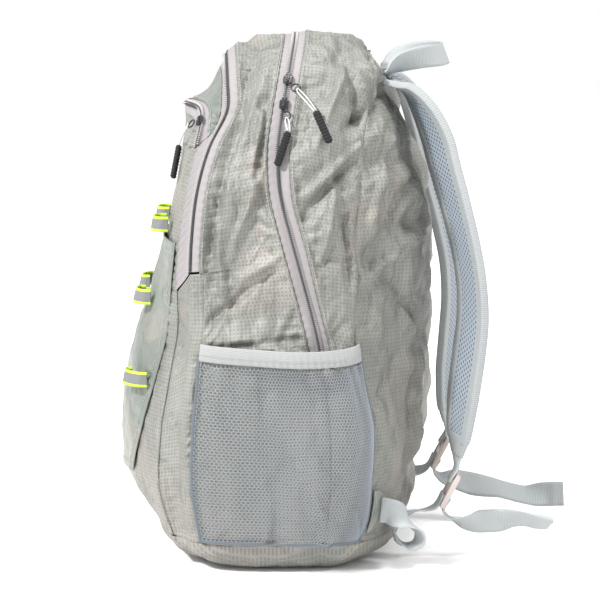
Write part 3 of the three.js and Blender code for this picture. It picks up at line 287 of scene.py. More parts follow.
@dataclass
class Arch:
    """A seam that runs up one side, over the top and down the other.

    Its half width follows a parabola below the widest height and a superellipse above it, and its
    place comes from the side view, moving to the top's own place as it nears the middle.
    """

    name: str
    top_height: float
    top_place: float
    width: float
    squareness: float
    lean: float
    bag: BagSizes = field(default_factory=BagSizes)
    samples: int = 256

    def __post_init__(self) -> None:
        """Walks the arch once and keeps evenly measured points."""
        bag = self.bag
        self.half_width = self.width * bag.half_width
        self.widest = bag.widest_share * bag.height
        self.top = self.top_height * bag.height
        low = np.linspace(bag.rim_height, self.widest, self.samples, endpoint=False)
        angle = np.linspace(0, math.pi / 2, self.samples + 1)
        power = 2 / self.squareness
        across = self.half_width * np.maximum(0, np.cos(angle)) ** power
        across[-1] = 0
        up = mix(self.widest, self.top, np.sin(angle) ** power)
        self.line = np.stack([np.r_[self.width_at(low), across], np.r_[low, up]], axis=1)
        lengths = np.r_[0, np.cumsum(np.linalg.norm(np.diff(self.line, axis=0), axis=1))]
        self.shares = lengths / lengths[-1]
        tangent = np.gradient(self.line, self.shares, axis=0)
        normal = unit(np.stack([tangent[:, 1], -tangent[:, 0]], axis=1))
        normal[self.line[:, 1] < self.widest] = (1, 0)
        normal[-1] = (0, 1)
        self.normals = normal

    def width_at(self, height: np.ndarray) -> np.ndarray:
        """The half width at heights."""
        below = clamp((self.widest - height) / self.widest)
        above = clamp((height - self.widest) / (self.top - self.widest))
        lower = self.half_width * (1 - self.bag.base_narrowing * below**2)
        upper = self.half_width * (1 - above**self.squareness) ** (1 / self.squareness)
        return np.where(height <= self.widest, lower, upper)

    def place_at(self, height: np.ndarray, half_width: np.ndarray) -> np.ndarray:
        """The place from front to back at heights where the arch is that wide."""
        over = (1 - clamp(half_width / self.half_width)) ** 1.5
        over = np.where(height <= self.widest, 0, over)
        return mix(side_view(self.name, height, self.bag), self.top_place * self.bag.depth, over)

    def at(self, t: np.ndarray) -> Cells:
        """Points and flat outward directions at shares of the way from the rim to the top."""
        x, z = (np.interp(t, self.shares, self.line[:, k]) for k in (0, 1))
        normal = unit(np.stack([np.interp(t, self.shares, self.normals[:, k]) for k in (0, 1)], axis=-1))
        return np.stack([x, self.place_at(z, x), z], axis=-1), normal

    def share_at(self, height: float) -> float:
        """The share of the way up at a height."""
        return float(np.interp(height, self.line[:, 1], self.shares))


@dataclass(frozen=True)
class Fold:
    """A main fold or dent, as shares: place of the depth, height of the height, the rest of the width."""

    place: float
    height: float
    turn: float
    length: float
    breadth: float
    depth: float


FOLDS = tuple(Fold(*row) for row in (
    (-0.1, 0.62, 62, 0.26, 0.06, -0.02),
    (-0.03, 0.5, 12, 0.22, 0.07, -0.022),
    (0.2, 0.52, 78, 0.23, 0.055, -0.02),
    (0.24, 0.8, 84, 0.22, 0.05, -0.024),
    (0.12, 0.78, 50, 0.14, 0.05, 0.014),
    (0.38, 0.64, 66, 0.24, 0.06, -0.026),
    (0.4, 0.38, 100, 0.26, 0.06, -0.02),
    (-0.1, 0.86, 74, 0.12, 0.045, -0.018),
))

# Thinner folds that only the finished cloth has.
FINE_FOLDS = tuple(Fold(*row) for row in (
    (-0.165, 0.7, 78, 0.2, 0.016, -0.01),
    (-0.06, 0.705, 68, 0.18, 0.014, 0.01),
    (-0.12, 0.52, 40, 0.15, 0.014, -0.01),
    (-0.02, 0.59, 30, 0.17, 0.014, 0.009),
    (-0.09, 0.44, 8, 0.2, 0.013, -0.01),
    (0.06, 0.43, -14, 0.16, 0.014, 0.009),
    (-0.04, 0.8, 82, 0.16, 0.014, 0.009),
    (0.02, 0.86, 60, 0.09, 0.012, -0.009),
    (0.17, 0.64, 80, 0.2, 0.013, 0.01),
    (0.13, 0.56, 62, 0.16, 0.012, -0.01),
    (0.23, 0.66, 96, 0.2, 0.013, -0.011),
    (0.19, 0.88, 70, 0.12, 0.012, 0.01),
    (0.26, 0.9, 104, 0.12, 0.012, -0.012),
    (0.35, 0.74, 74, 0.2, 0.013, 0.01),
    (0.43, 0.56, 84, 0.22, 0.013, -0.011),
    (0.34, 0.46, 100, 0.2, 0.014, 0.01),
    (0.44, 0.33, 70, 0.18, 0.013, -0.01),
    (0.38, 0.24, 112, 0.18, 0.013, 0.009),
    (0.08, 0.36, 4, 0.14, 0.012, -0.008),
    (0.305, 0.869, 33, 0.08, 0.018, -0.024),
    (0.27, 0.925, 33, 0.1, 0.036, 0.01),
    (-0.027, 0.8, 76, 0.075, 0.013, -0.018),
    (-0.046, 0.885, 70, 0.1, 0.015, 0.012),
    (0.19, 0.74, 50, 0.16, 0.018, -0.016),
    (0.23, 0.78, 40, 0.16, 0.015, 0.013),
    (0.42, 0.7, 60, 0.14, 0.016, -0.016),
    (0.4, 0.6, 35, 0.12, 0.014, 0.013),
    (0.45, 0.5, 120, 0.14, 0.015, -0.015),
    (0.36, 0.36, 60, 0.12, 0.014, -0.013),
    (0.02, 0.68, 118, 0.12, 0.013, -0.012),
    (-0.15, 0.56, 96, 0.16, 0.012, 0.01),
))


@dataclass
class BagShape:
    """The bag's surface: bands between arches and caps between an arch's two legs."""

    bag: BagSizes
    fold_fade: float = 0.4
    tape_gap: float = 0.6
    step: float = 0.01
    end_samples: int = 1001
    front_roundness: float = 2.2
    back_roundness: float = 2.6

    def __post_init__(self) -> None:
        """Makes the arches and finds where the zips end."""
        bag = self.bag
        self.front_seam = Arch("frontSeam", 0.869, -0.280, 0.747, 5.0, -45, bag)
        self.middle_zip = Arch("middleZip", 0.959, -0.148, 0.853, 3.2, -12, bag)
        self.main_zip = Arch("mainZip", 1.000, 0.076, 0.985, 2.8, 0, bag)
        self.back_seam = Arch("backSeam", 0.969, 0.322, 0.930, 2.8, 40, bag)
        self.middle_end = self.middle_zip.share_at(bag.middle_zip_end)
        self.main_end = self.main_zip.share_at(bag.main_zip_end)
        shares = np.linspace(1, 0, self.end_samples)
        room = bag.front_tape_half + bag.zip_margin + self.tape_gap + bag.slack_corner
        narrow = self.band_length(self.front_seam, self.middle_zip, shares) <= room
        self.front_end = float(shares[np.argmax(narrow)])

    def fold_push(self, points: np.ndarray, folds: Sequence[Fold] = FOLDS) -> np.ndarray:
        """How far folds push the cloth out: Gaussian strips that fade towards the bag's middle."""
        bag = self.bag
        push = np.zeros(points.shape[:-1])
        for fold in folds:
            away = points[..., 1] - fold.place * bag.depth
            up = points[..., 2] - fold.height * bag.height
            turn = math.radians(fold.turn)
            along = (away * math.cos(turn) + up * math.sin(turn)) / (fold.length * bag.width)
            across = (up * math.cos(turn) - away * math.sin(turn)) / (fold.breadth * bag.width)
            push += fold.depth * bag.width * np.exp(-(along**2) - across**2)
        return push * clamp(np.abs(points[..., 0]) / (self.fold_fade * bag.half_width))

    def band_length(self, front: Arch, back: Arch, t: np.ndarray) -> np.ndarray:
        """The distance square across a band, from one arch to the next."""
        start = front.at(t)[0]
        across = back.at(t)[0] - start
        along = unit(back.at(np.minimum(1, t + self.step))[0] - back.at(t - self.step)[0])
        across = across - along * np.sum(across * along, axis=-1, keepdims=True)
        return np.linalg.norm(across, axis=-1)

    def band(self, front: Arch, back: Arch, amount: float, peak: float, share: Grid, t: Grid) -> Cells:
        """Cloth between two arches, swelling between them by a share of the band's breadth.

        Args:
            front: The arch nearer the front.
            back: The arch nearer the back.
            amount: How far the cloth swells, as a share of the band's breadth.
            peak: The share from front to back where the swell is fullest.
            share: Shares from the front arch to the back one.
            t: Shares of the way up, of the same shape.

        Returns:
            Points and outward directions.
        """
        (a, a_out), (b, b_out) = front.at(t), back.at(t)
        part = share[..., None]
        radial = unit(mix(a_out, b_out, part))
        lean = np.radians(mix(front.lean, back.lean, share))
        out = np.stack([radial[..., 0] * np.cos(lean), np.sin(lean), radial[..., 1] * np.cos(lean)], axis=-1)
        point = mix(a, b, part)
        bent = clamp(share) ** (math.log(0.5) / math.log(peak))
        push = amount * self.band_length(front, back, t) * arc(bent)
        return point + out * (push + self.fold_push(point))[..., None], out

    def slack(self, share: Grid, t: Grid) -> Cells:
        """The band between the front seam and the middle zip."""
        return self.band(self.front_seam, self.middle_zip, -0.11, 0.5, share, t)

    def front_body(self, share: Grid, t: Grid) -> Cells:
        """The band between the middle zip and the main zip."""
        return self.band(self.middle_zip, self.main_zip, 0.12, 0.3, share, t)

    def back_body(self, share: Grid, t: Grid) -> Cells:
        """The band between the main zip and the back seam."""
        return self.band(self.main_zip, self.back_seam, 0.16, 0.5, share, t)

    def cap(self, arch: Arch, column: str, roundness: float, across: Grid, t: Grid, margin: Grid) -> Cells:
        """A panel between an arch's two legs, bulging as a superellipse of the share across.

        Args:
            arch: The arch round it.
            column: The side view's column for the panel's middle.
            roundness: The bulge's power; a higher one is flatter.
            across: Shares from the left leg (-1) to the right one (1).
            t: Shares of the way up.
            margin: How far inside the arch the panel's edge is.

        Returns:
            Points and outward directions.
        """
        edge, radial = arch.at(t)
        x = across * np.maximum(TINY, edge[..., 0] - margin * radial[..., 0])
        z = edge[..., 2] - margin * radial[..., 1]
        legs = np.maximum(TINY, arch.width_at(z))
        spread = clamp(np.abs(x) / legs)
        y = mix(side_view(column, z, self.bag), arch.place_at(z, legs), spread**roundness)
        lean = np.radians(mix(math.copysign(90, arch.lean), arch.lean, across**2))
        out = np.stack([
            np.sign(across) * radial[..., 0] * np.cos(lean), np.sin(lean), radial[..., 1] * np.cos(lean),
        ], axis=-1)
        point = np.stack([x, y, z], axis=-1)
        return point + out * (self.fold_push(point) * spread**2)[..., None], out

    def front(self, across: Grid, t: Grid, margin: Grid | float = 0.0) -> Cells:
        """The front panel."""
        margin = np.broadcast_to(margin, across.shape)
        return self.cap(self.front_seam, "front", self.front_roundness, across, t, margin)

    def back(self, across: Grid, t: Grid, margin: Grid | float = 0.0) -> Cells:
        """The back panel."""
        margin = np.broadcast_to(margin, across.shape)
        return self.cap(self.back_seam, "back", self.back_roundness, across, t, margin)

    def beside_main(self, offset: Grid, t: Grid) -> Cells:
        """Points at distances behind (plus) or before (minus) the main zip."""
        fore, aft = (self.band_length(self.middle_zip, self.main_zip, t),
                     self.band_length(self.main_zip, self.back_seam, t))
        behind = self.back_body(np.maximum(0, offset) / aft, t)
        before = self.front_body(1 + np.minimum(0, offset) / fore, t)
        return picked(offset >= 0, behind, before)

    def beside_middle(self, offset: Grid, t: Grid) -> Cells:
        """Points at distances behind (plus) or before (minus) the middle zip."""
        fore, aft = (self.band_length(self.front_seam, self.middle_zip, t),
                     self.band_length(self.middle_zip, self.main_zip, t))
        behind = self.front_body(np.maximum(0, offset) / aft, t)
        before = self.slack(1 + np.minimum(0, offset) / fore, t)
        return picked(offset >= 0, behind, before)

    def beside_front(self, offset: Grid, t: Grid) -> Cells:
        """Points at distances above (plus) or below (minus) the front zip."""
        above = self.slack(np.maximum(0, offset) / self.band_length(self.front_seam, self.middle_zip, t), t)
        below = self.front(np.ones_like(t), t, np.maximum(0, -offset))
        return picked(offset >= 0, above, below)

    def side(self, share: Grid, t: Grid, inset: float = 0.0) -> Cells:
        """The side from the gusset (0) through the main zip's line (a half) to the back seam (1)."""
        front_length = self.band_length(self.middle_zip, self.main_zip, t)
        back_length = self.band_length(self.main_zip, self.back_seam, t)
        first = (self.bag.gusset + inset) / front_length
        last = 1 - inset / back_length
        fore = self.front_body(mix(first, 1, clamp(2 * share)), t)
        aft = self.back_body(mix(0, last, clamp(2 * share - 1)), t)
        return picked(share < 0.5, fore, aft)


def over_the_top(cells: Callable[[Grid], Cells], shares: np.ndarray) -> Cells:
    """Rows up the right leg, over the top and down the left leg."""
    point, out = cells(shares)
    flip = mirrored((point[:-1][::-1], out[:-1][::-1]))
    return np.concatenate([point, flip[0]]), np.concatenate([out, flip[1]])


def shares_with(start: float, count: int, ends: Sequence[float] = ()) -> np.ndarray:
    """Even shares from a start to one, with a close pair on each side of each end."""
    even = np.linspace(start, 1, count)
    pairs = [end + side for end in ends for side in (-CLOSE_PAIR, CLOSE_PAIR) if end > start]
    return np.unique(np.r_[even, pairs])


# Meshes


def lengths_along(points: Grid, axis: int) -> Grid:
    """How far along an axis of a grid each point is, in millimetres."""
    steps = np.linalg.norm(np.diff(points, axis=axis), axis=-1)
    lead = np.zeros_like(np.take(steps, [0], axis=axis))
    return np.concatenate([lead, np.cumsum(steps, axis=axis)], axis=axis)


def make_object(name: str, points: np.ndarray, faces: Sequence[np.ndarray], uv: np.ndarray | None = None,
                smooth: bool = True) -> Object:
    """Makes a mesh object from whole arrays.

    Args:
        name: The object's name.
        points: Vertices in millimetres, one a row.
        faces: Arrays of faces, each with a fixed number of corners.
        uv: Places on the cloth in millimetres, one a vertex.
        smooth: Whether the faces are shaded smooth.

    Returns:
        The new object, linked to the scene.
    """
    mesh = bpy.data.meshes.new(name)
    points = points.reshape(-1, 3)
    mesh.vertices.add(len(points))
    mesh.vertices.foreach_set("co", (points * MM).astype(np.float32).ravel())
    corners = np.concatenate([rows.ravel() for rows in faces]).astype(np.int32)
    totals = np.concatenate([np.full(len(rows), rows.shape[1]) for rows in faces])
    mesh.loops.add(len(corners))
    mesh.loops.foreach_set("vertex_index", corners)
    mesh.polygons.add(len(totals))
    mesh.polygons.foreach_set("loop_start", np.r_[0, np.cumsum(totals)[:-1]].astype(np.int32))
    mesh.polygons.foreach_set("use_smooth", np.full(len(totals), smooth))
    mesh.update(calc_edges=True)
    if uv is not None:
        layer = mesh.uv_layers.new(name=UV_NAME)
        layer.data.foreach_set("uv", (uv.reshape(-1, 2)[corners] * MM).astype(np.float32).ravel())
    obj = bpy.data.objects.new(name, mesh)
    bpy.context.scene.collection.objects.link(obj)
    return obj


def grid_faces(rows: int, columns: int, wrap: bool = False) -> np.ndarray:
    """Quads of a grid, each going across first and then up."""
    last = columns if wrap else columns - 1
    r, c = np.meshgrid(np.arange(rows - 1), np.arange(last), indexing="ij")
    n = (c + 1) % columns
    this, above = r * columns, (r + 1) * columns
    return np.stack([this + c, this + n, above + n, above + c], axis=-1).reshape(-1, 4)


def tube(name: str, rings: Grid, uv: Grid | None = None, turned: bool = False) -> Object:
    """A closed form from rings of points, with flat ends; its faces can be turned over."""
    rows, columns = rings.shape[:2]
    last = (rows - 1) * columns
    faces = [grid_faces(rows, columns, wrap=True),
             np.arange(columns)[::-1][None], last + np.arange(columns)[None]]
    return make_object(name, rings, [f[:, ::-1] for f in faces] if turned else faces, uv)


def shell(name: str, cells: Cells, thick: float) -> Object:
    """A sheet with a thickness: the grid outside, the same grid moved in, and strips round the edge.

    Args:
        name: The object's name.
        cells: The outside's points and outward directions, in rows and columns.
        thick: How thick the sheet is, in millimetres.

    Returns:
        The new object, with its cloth places.
    """
    point, out = cells
    rows, columns = point.shape[:2]
    inside = point - out * thick
    quads = grid_faces(rows, columns)
    a, b, d = (point.reshape(-1, 3)[quads[:, k]] for k in (0, 1, 3))
    facing = np.sum(np.cross(b - a, d - a) * out.reshape(-1, 3)[quads[:, 0]])
    if facing < 0:
        quads = quads[:, ::-1]
    count = rows * columns
    ring = np.concatenate([
        np.arange(columns), np.arange(1, rows) * columns + columns - 1,
        (rows - 1) * columns + np.arange(columns - 2, -1, -1), np.arange(rows - 2, 0, -1) * columns,
    ])
    after = np.roll(ring, -1)
    edge = np.stack([after, ring, ring + count, after + count], axis=-1)
    if facing < 0:
        edge = edge[:, ::-1]
    across = lengths_along(point, 1)
    along = np.broadcast_to(lengths_along(point, 0).mean(axis=1, keepdims=True), across.shape)
    uv = np.stack([across - across[:, -1:] / 2, along], axis=-1)
    return make_object(name, np.concatenate([point.reshape(-1, 3), inside.reshape(-1, 3)]),
                       [quads, quads[:, ::-1] + count, edge], np.concatenate([uv.reshape(-1, 2)] * 2))


@dataclass(frozen=True)
class Stop:
    """A stop on a strip's route, in shares of the bag, with the strip's width direction there."""

    across: float
    place: float
    height: float
    face: tuple[float, float, float]
    breadth: float = 1
    bulk: float = 1


class Route:
    """A smooth line through stops: centripetal Catmull-Rom, with the width turning along it."""

    def __init__(self, stops: Sequence[Stop], bag: BagSizes, side: Side = Side.RIGHT,
                 shift: np.ndarray | float = 0.0) -> None:
        """Places the stops in millimetres on one side of the bag."""
        flip = np.array([side.value, 1, 1])
        self.points = np.array([[s.across, s.place, s.height] for s in stops]) * bag.scale * flip
        self.points[:, 1] += shift
        self.faces = unit(np.array([s.face for s in stops]) * flip)
        self.breadths = np.array([s.breadth for s in stops])
        self.bulks = np.array([s.bulk for s in stops])

    def sample(self, count: int) -> tuple[np.ndarray, np.ndarray, np.ndarray, np.ndarray, np.ndarray]:
        """Evenly spaced points with their width and thickness directions and scales.

        Args:
            count: How many points.

        Returns:
            Points, width directions, thickness directions, breadths and bulks.
        """
        p = self.points
        ends = np.concatenate([2 * p[:1] - p[1:2], p, 2 * p[-1:] - p[-2:-1]])
        fine = np.linspace(0, len(p) - 1, count * 4)
        at = np.minimum(fine.astype(int), len(p) - 2)
        s = (fine - at)[:, None]
        p0, p1, p2, p3 = (ends[at + k] for k in range(4))
        d0, d1, d2 = (np.sqrt(np.maximum(TINY, np.linalg.norm(b - a, axis=1)))[:, None]
                      for a, b in ((p0, p1), (p1, p2), (p2, p3)))
        m1 = ((p1 - p0) / d0 - (p2 - p0) / (d0 + d1) + (p2 - p1) / d1) * d1
        m2 = ((p2 - p1) / d1 - (p3 - p1) / (d1 + d2) + (p3 - p2) / d2) * d1
        line = p1 + m1 * s + (3 * (p2 - p1) - 2 * m1 - m2) * s**2 + (2 * (p1 - p2) + m1 + m2) * s**3
        lengths = np.r_[0, np.cumsum(np.linalg.norm(np.diff(line, axis=0), axis=1))]
        even = np.linspace(0, lengths[-1], count)
        knots = np.interp(even, lengths, fine)
        points = np.stack([np.interp(even, lengths, line[:, k]) for k in range(3)], axis=1)
        tangent = unit(np.gradient(points, axis=0))
        index = np.arange(len(p))
        face = np.stack([np.interp(knots, index, self.faces[:, k]) for k in range(3)], axis=1)
        face = self._smoothed(face)
        face = unit(face - tangent * np.sum(face * tangent, axis=1, keepdims=True))
        through = np.cross(tangent, face)
        return points, face, through, np.interp(knots, index, self.breadths), np.interp(
            knots, index, self.bulks)

    @staticmethod
    def _smoothed(values: np.ndarray) -> np.ndarray:
        """Values eased along the line by a short running mean."""
        wide = max(1, len(values) // 40)
        padded = np.pad(values, ((wide, wide), (0, 0)), mode="edge")
        kernel = np.ones(2 * wide + 1) / (2 * wide + 1)
        return np.stack([np.convolve(padded[:, k], kernel, mode="valid") for k in range(3)], axis=1)


def sweep(name: str, route: Route, section: np.ndarray, count: int, shift: float = 0.0, rise: float = 0.0,
          span: tuple[float, float] = (0, 1)) -> Object:
    """A closed section carried along a route, with flat ends.

    Args:
        name: The object's name.
        route: The line to follow.
        section: Points across and through, in millimetres, going round once.
        count: Sections along the route.
        shift: How far to move the section across, before the route's breadth scales it.
        rise: How far to move the section through.
        span: Which shares of the route to cover.

    Returns:
        The new object, with cloth places across and along.
    """
    points, face, through, breadth, bulk = route.sample(count)
    first, last = int(span[0] * (count - 1)), int(round(span[1] * (count - 1))) + 1
    points, face, through, breadth, bulk = (a[first:last] for a in (points, face, through, breadth, bulk))
    wide = (section[None, :, 0] + shift) * breadth[:, None]
    thick = (section[None, :, 1] + rise) * bulk[:, None]
    rings = points[:, None] + face[:, None] * wide[..., None] + through[:, None] * thick[..., None]
    rows, columns = rings.shape[:2]
    after = np.roll(section, -1, axis=0)
    area = np.sum(section[:, 0] * after[:, 1] - section[:, 1] * after[:, 0])
    along = lengths_along(points[:, None], 0)
    uv = np.stack([np.broadcast_to(section[None, :, 0] + shift, (rows, columns)),
                   np.broadcast_to(along, (rows, columns))], axis=-1)
    return tube(name, rings, uv, area < 0)


def bend(value: np.ndarray, power: float) -> np.ndarray:
    """A power of a value that keeps its sign."""
    return np.sign(value) * np.abs(value) ** power


def rounded_section(width: float, thick: float, sides: int = 20, power: float = 0.5) -> np.ndarray:
    """A superellipse section; a lower power is squarer."""
    angle = (np.arange(sides) + 0.5) / sides * TURN
    across, through = (bend(wave(angle), power) for wave in (np.cos, np.sin))
    return np.stack([across * width / 2, through * thick / 2], axis=1)


def strip_section(width: float, thick: float, steps: int = 12) -> np.ndarray:
    """A flat strip's section with many points across, so that it can bend."""
    across = np.linspace(-width / 2, width / 2, steps)
    low = np.stack([across, np.full(steps, -thick / 2)], axis=1)
    high = np.stack([across[::-1], np.full(steps, thick / 2)], axis=1)
    return np.concatenate([low, high])


def tube_section(diameter: float, sides: int = 8) -> np.ndarray:
    """A round section."""
    angle = np.arange(sides) / sides * TURN
    return np.stack([np.cos(angle), np.sin(angle)], axis=1) * diameter / 2


def scatter(name: str, template: np.ndarray, faces: np.ndarray, centres: np.ndarray,
            axes: np.ndarray) -> Object:
    """One small closed form repeated at many places.

    Args:
        name: The object's name.
        template: The form's vertices in millimetres.
        faces: The form's faces.
        centres: Where each copy goes.
        axes: Each copy's three axes, as rows.

    Returns:
        One object with all the copies.
    """
    points = centres[:, None] + np.einsum("vk,nkd->nvd", template, axes)
    numbers = faces[None] + (np.arange(len(centres)) * len(template))[:, None, None]
    return make_object(name, points, [numbers.reshape(-1, faces.shape[1])])


def bead_template(length: float, width: float, height: float) -> tuple[np.ndarray, np.ndarray]:
    """A short stitch or tooth: a box, narrower and lower at its two ends."""
    along = np.array([-0.5, -0.32, 0.32, 0.5]) * length
    scale = np.array([0.45, 1, 1, 0.45])
    ring = np.array([[-1, -0.5], [1, -0.5], [0.7, 1], [-0.7, 1]])
    points = np.concatenate([
        np.stack([ring[:, 0] * width / 2 * s, np.full(4, a), ring[:, 1] * height / 2 * s], axis=1)
        for a, s in zip(along, scale)])
    quads = grid_faces(4, 4, wrap=True)[:, ::-1]
    ends = np.array([[0, 1, 2, 3], [15, 14, 13, 12]])
    return points, np.concatenate([quads, ends])[:, ::-1]


def frames_along(line: np.ndarray, outs: np.ndarray) -> np.ndarray:
    """Axes across, along and out at each point of a line."""
    along = unit(np.gradient(line, axis=0))
    out = unit(outs - along * np.sum(outs * along, axis=1, keepdims=True))
    return np.stack([np.cross(along, out), along, out], axis=1)


def even_line(line: np.ndarray, outs: np.ndarray, pitch: float) -> Cells:
    """Points at an even pitch along a line, with their outward directions."""
    lengths = np.r_[0, np.cumsum(np.linalg.norm(np.diff(line, axis=0), axis=1))]
    at = np.arange(pitch / 2, lengths[-1], pitch)
    points, directions = (np.stack([np.interp(at, lengths, a[:, k]) for k in range(3)], axis=1)
                          for a in (line, outs))
    return points, unit(directions)


def stitches(name: str, lines: Sequence[Cells], pitch: float = 3.2, length: float = 2.3,
             width: float = 0.6) -> Object:
    """Lines of stitches: small beads at an even pitch, half sunk in the cloth."""
    points, outs = zip(*(even_line(line, out, pitch) for line, out in lines))
    axes = np.concatenate([frames_along(p, o) for p, o in zip(points, outs)])
    template, faces = bead_template(length, width, width)
    return scatter(name, template, faces, np.concatenate(points), axes)


def joined(name: str, parts: Sequence[Object]) -> Object:
    """One object from several, keeping their materials."""
    with bpy.context.temp_override(active_object=parts[0], selected_editable_objects=list(parts)):
        bpy.ops.object.join()
    parts[0].name = name
    return parts[0]


# Finishes


class Shader:
    """A material's node tree, with a short call for each node used here."""

    def __init__(self, name: str, roughness: float, metallic: float = 0.0) -> None:
        """Starts a material with one surface shader."""
        self.material = bpy.data.materials.new(name)
        self.material.use_nodes = True
        self.tree = self.material.node_tree
        self.surface = self.tree.nodes["Principled BSDF"]
        self.surface.inputs["Roughness"].default_value = roughness
        self.surface.inputs["Metallic"].default_value = metallic

    def node(self, kind: str, inputs: dict[str | int, object], **settings: object) -> bpy.types.Node:
        """Adds a node; an input is a constant or another node's output."""
        made = self.tree.nodes.new(kind)
        for name, value in settings.items():
            setattr(made, name, value)
        for name, value in inputs.items():
            if isinstance(value, Socket):
                self.tree.links.new(value, made.inputs[name])
            else:
                made.inputs[name].default_value = value
        return made

    def math(self, operation: str, *values: object) -> Socket:
        """A sum, product or other number."""
        return self.node("ShaderNodeMath", dict(enumerate(values)), operation=operation).outputs[0]

    def place(self) -> Socket:
        """The object's own coordinates."""
        return self.node("ShaderNodeTexCoord", {}).outputs["Object"]

    def cloth(self) -> tuple[Socket, Socket]:
        """The place across and along the cloth, in metres."""
        place = self.node("ShaderNodeUVMap", {}, uv_map=UV_NAME).outputs[0]
        split = self.node("ShaderNodeSeparateXYZ", {0: place})
        return split.outputs[0], split.outputs[1]

    def noise(self, size: float, detail: float = 2.0,
              stretch: Sequence[float] = (1, 1, 1)) -> Socket:
        """Noise over the object with features of a size in millimetres."""
        scaled = self.node("ShaderNodeMapping", {"Vector": self.place(), "Scale": list(stretch)})
        return self.node("ShaderNodeTexNoise", {
            "Vector": scaled.outputs[0], "Scale": 1 / (size * MM), "Detail": detail}).outputs[0]

    def cracks(self, size: float, stretch: Sequence[float] = (1, 1, 1)) -> Socket:
        """The distance to the edges of scattered cells of a size in millimetres."""
        warp = self.node("ShaderNodeTexNoise", {
            "Vector": self.place(), "Scale": 0.7 / (size * MM), "Detail": 1.0}).outputs["Color"]
        spread = self.node("ShaderNodeVectorMath", {0: warp, 1: [size * MM * 0.8] * 3}, operation="MULTIPLY")
        moved = self.node("ShaderNodeVectorMath", {0: self.place(), 1: spread.outputs[0]}, operation="ADD")
        scaled = self.node("ShaderNodeMapping", {"Vector": moved.outputs[0], "Scale": list(stretch)})
        return self.node("ShaderNodeTexVoronoi", {
            "Vector": scaled.outputs[0], "Scale": 1 / (size * MM)}, feature="DISTANCE_TO_EDGE").outputs[0]

    def stripes(self, along: Socket, pitch: float, share: float) -> Socket:
        """One inside stripes that cover a share of each pitch, in millimetres, and nothing between."""
        part = self.math("FRACT", self.math("DIVIDE", along, pitch * MM))
        away = self.math("ABSOLUTE", self.math("SUBTRACT", part, 0.5))
        soft = self.math("DIVIDE", self.math("SUBTRACT", share / 2, away), 0.06)
        return self.node("ShaderNodeClamp", {0: self.math("ADD", soft, 0.5)}).outputs[0]

    def blend(self, share: object, a: object, b: object) -> Socket:
        """A colour between two."""
        made = self.node("ShaderNodeMix", {}, data_type="RGBA")
        for at, value in ((0, share), (6, a), (7, b)):
            if isinstance(value, Socket):
                self.tree.links.new(value, made.inputs[at])
            else:
                made.inputs[at].default_value = (*value, 1) if isinstance(value, tuple) else value
        return made.outputs[2]

    def paint(self, color: object) -> None:
        """Sets the base colour."""
        if isinstance(color, tuple):
            self.surface.inputs["Base Color"].default_value = (*color, 1)
        else:
            self.tree.links.new(color, self.surface.inputs["Base Color"])

    def emboss(self, height: Socket, depth: float, strength: float = 1.0) -> None:
        """Adds a bump of a depth in millimetres, over any before it."""
        before = self.surface.inputs["Normal"].links
        inputs = {"Height": height, "Distance": depth * MM, "Strength": strength}
        if before:
            inputs["Normal"] = before[0].from_socket
        bump = self.node("ShaderNodeBump", inputs)
        self.tree.links.new(bump.outputs[0], self.surface.inputs["Normal"])


Color = tuple[float, float, float]


@dataclass(frozen=True)
class ClothFinish:
    """Thin crinkled cloth, with a ripstop grid where the grid's strength isn't nothing; the grid's darker
    squares paint the thicker threads' sheen.
    """

    name: str
    light: Color
    dark: Color
    warm: Color = (0.30, 0.235, 0.20)
    pitch: float = 3.8
    square: float = 0.58
    grid: float = 0.55
    crinkle: float = 1.0
    roughness: float = 0.53
    wave_size: float = 34
    wave_depth: float = 9.0
    crease_size: float = 30
    crease_depth: float = 8.0
    wrinkle_size: float = 12
    wrinkle_depth: float = 2.0
    thread_depth: float = 0.12
    patch_size: float = 60
    warm_size: float = 110
    wear_size: float = 70
    wear: float = 0.9
    upright: float = 0.55

    def build(self) -> Material:
        """Makes the material."""
        s = Shader(self.name, self.roughness)
        across, along = s.cloth()
        patches = s.noise(self.patch_size, 3.0)
        base = s.blend(patches, self.dark, self.light)
        warm = s.math("MULTIPLY", s.math("GREATER_THAN", s.noise(self.warm_size, 2.0), 0.56), 0.18)
        base = s.blend(warm, base, self.warm)
        # Painted sheen: the ripstop grid is embossed, and its squares are also darkened in the colour,
        # standing for the light the thicker threads catch.
        squares = s.math("MULTIPLY", s.stripes(across, self.pitch, self.square),
                         s.stripes(along, self.pitch, self.square))
        grid_sheen_share = s.math("MULTIPLY", squares, self.grid)
        deep = tuple(c * 0.62 for c in self.dark)
        # Brightness rises and falls in tall random blotches.
        blotch = s.math("SUBTRACT", s.noise(self.wear_size, 4.0, (1, 1, 0.6)), 0.5)
        blotch = s.math("MULTIPLY", blotch, self.wear)
        tone = s.node("ShaderNodeHueSaturation", {"Value": s.math("ADD", 1.0, blotch),
                                                  "Color": s.blend(grid_sheen_share, base, deep)})
        s.paint(tone.outputs[0])
        tall = (1, 1, self.upright)
        s.emboss(s.noise(self.wave_size, 3.0, tall), self.wave_depth * self.crinkle)
        s.emboss(s.cracks(self.crease_size, tall), self.crease_depth * self.crinkle)
        s.emboss(s.cracks(self.wrinkle_size, (1, 1, 0.7)), self.wrinkle_depth * self.crinkle, 0.9)
        if self.grid:
            s.emboss(squares, -self.thread_depth, 0.7)
        return s.material


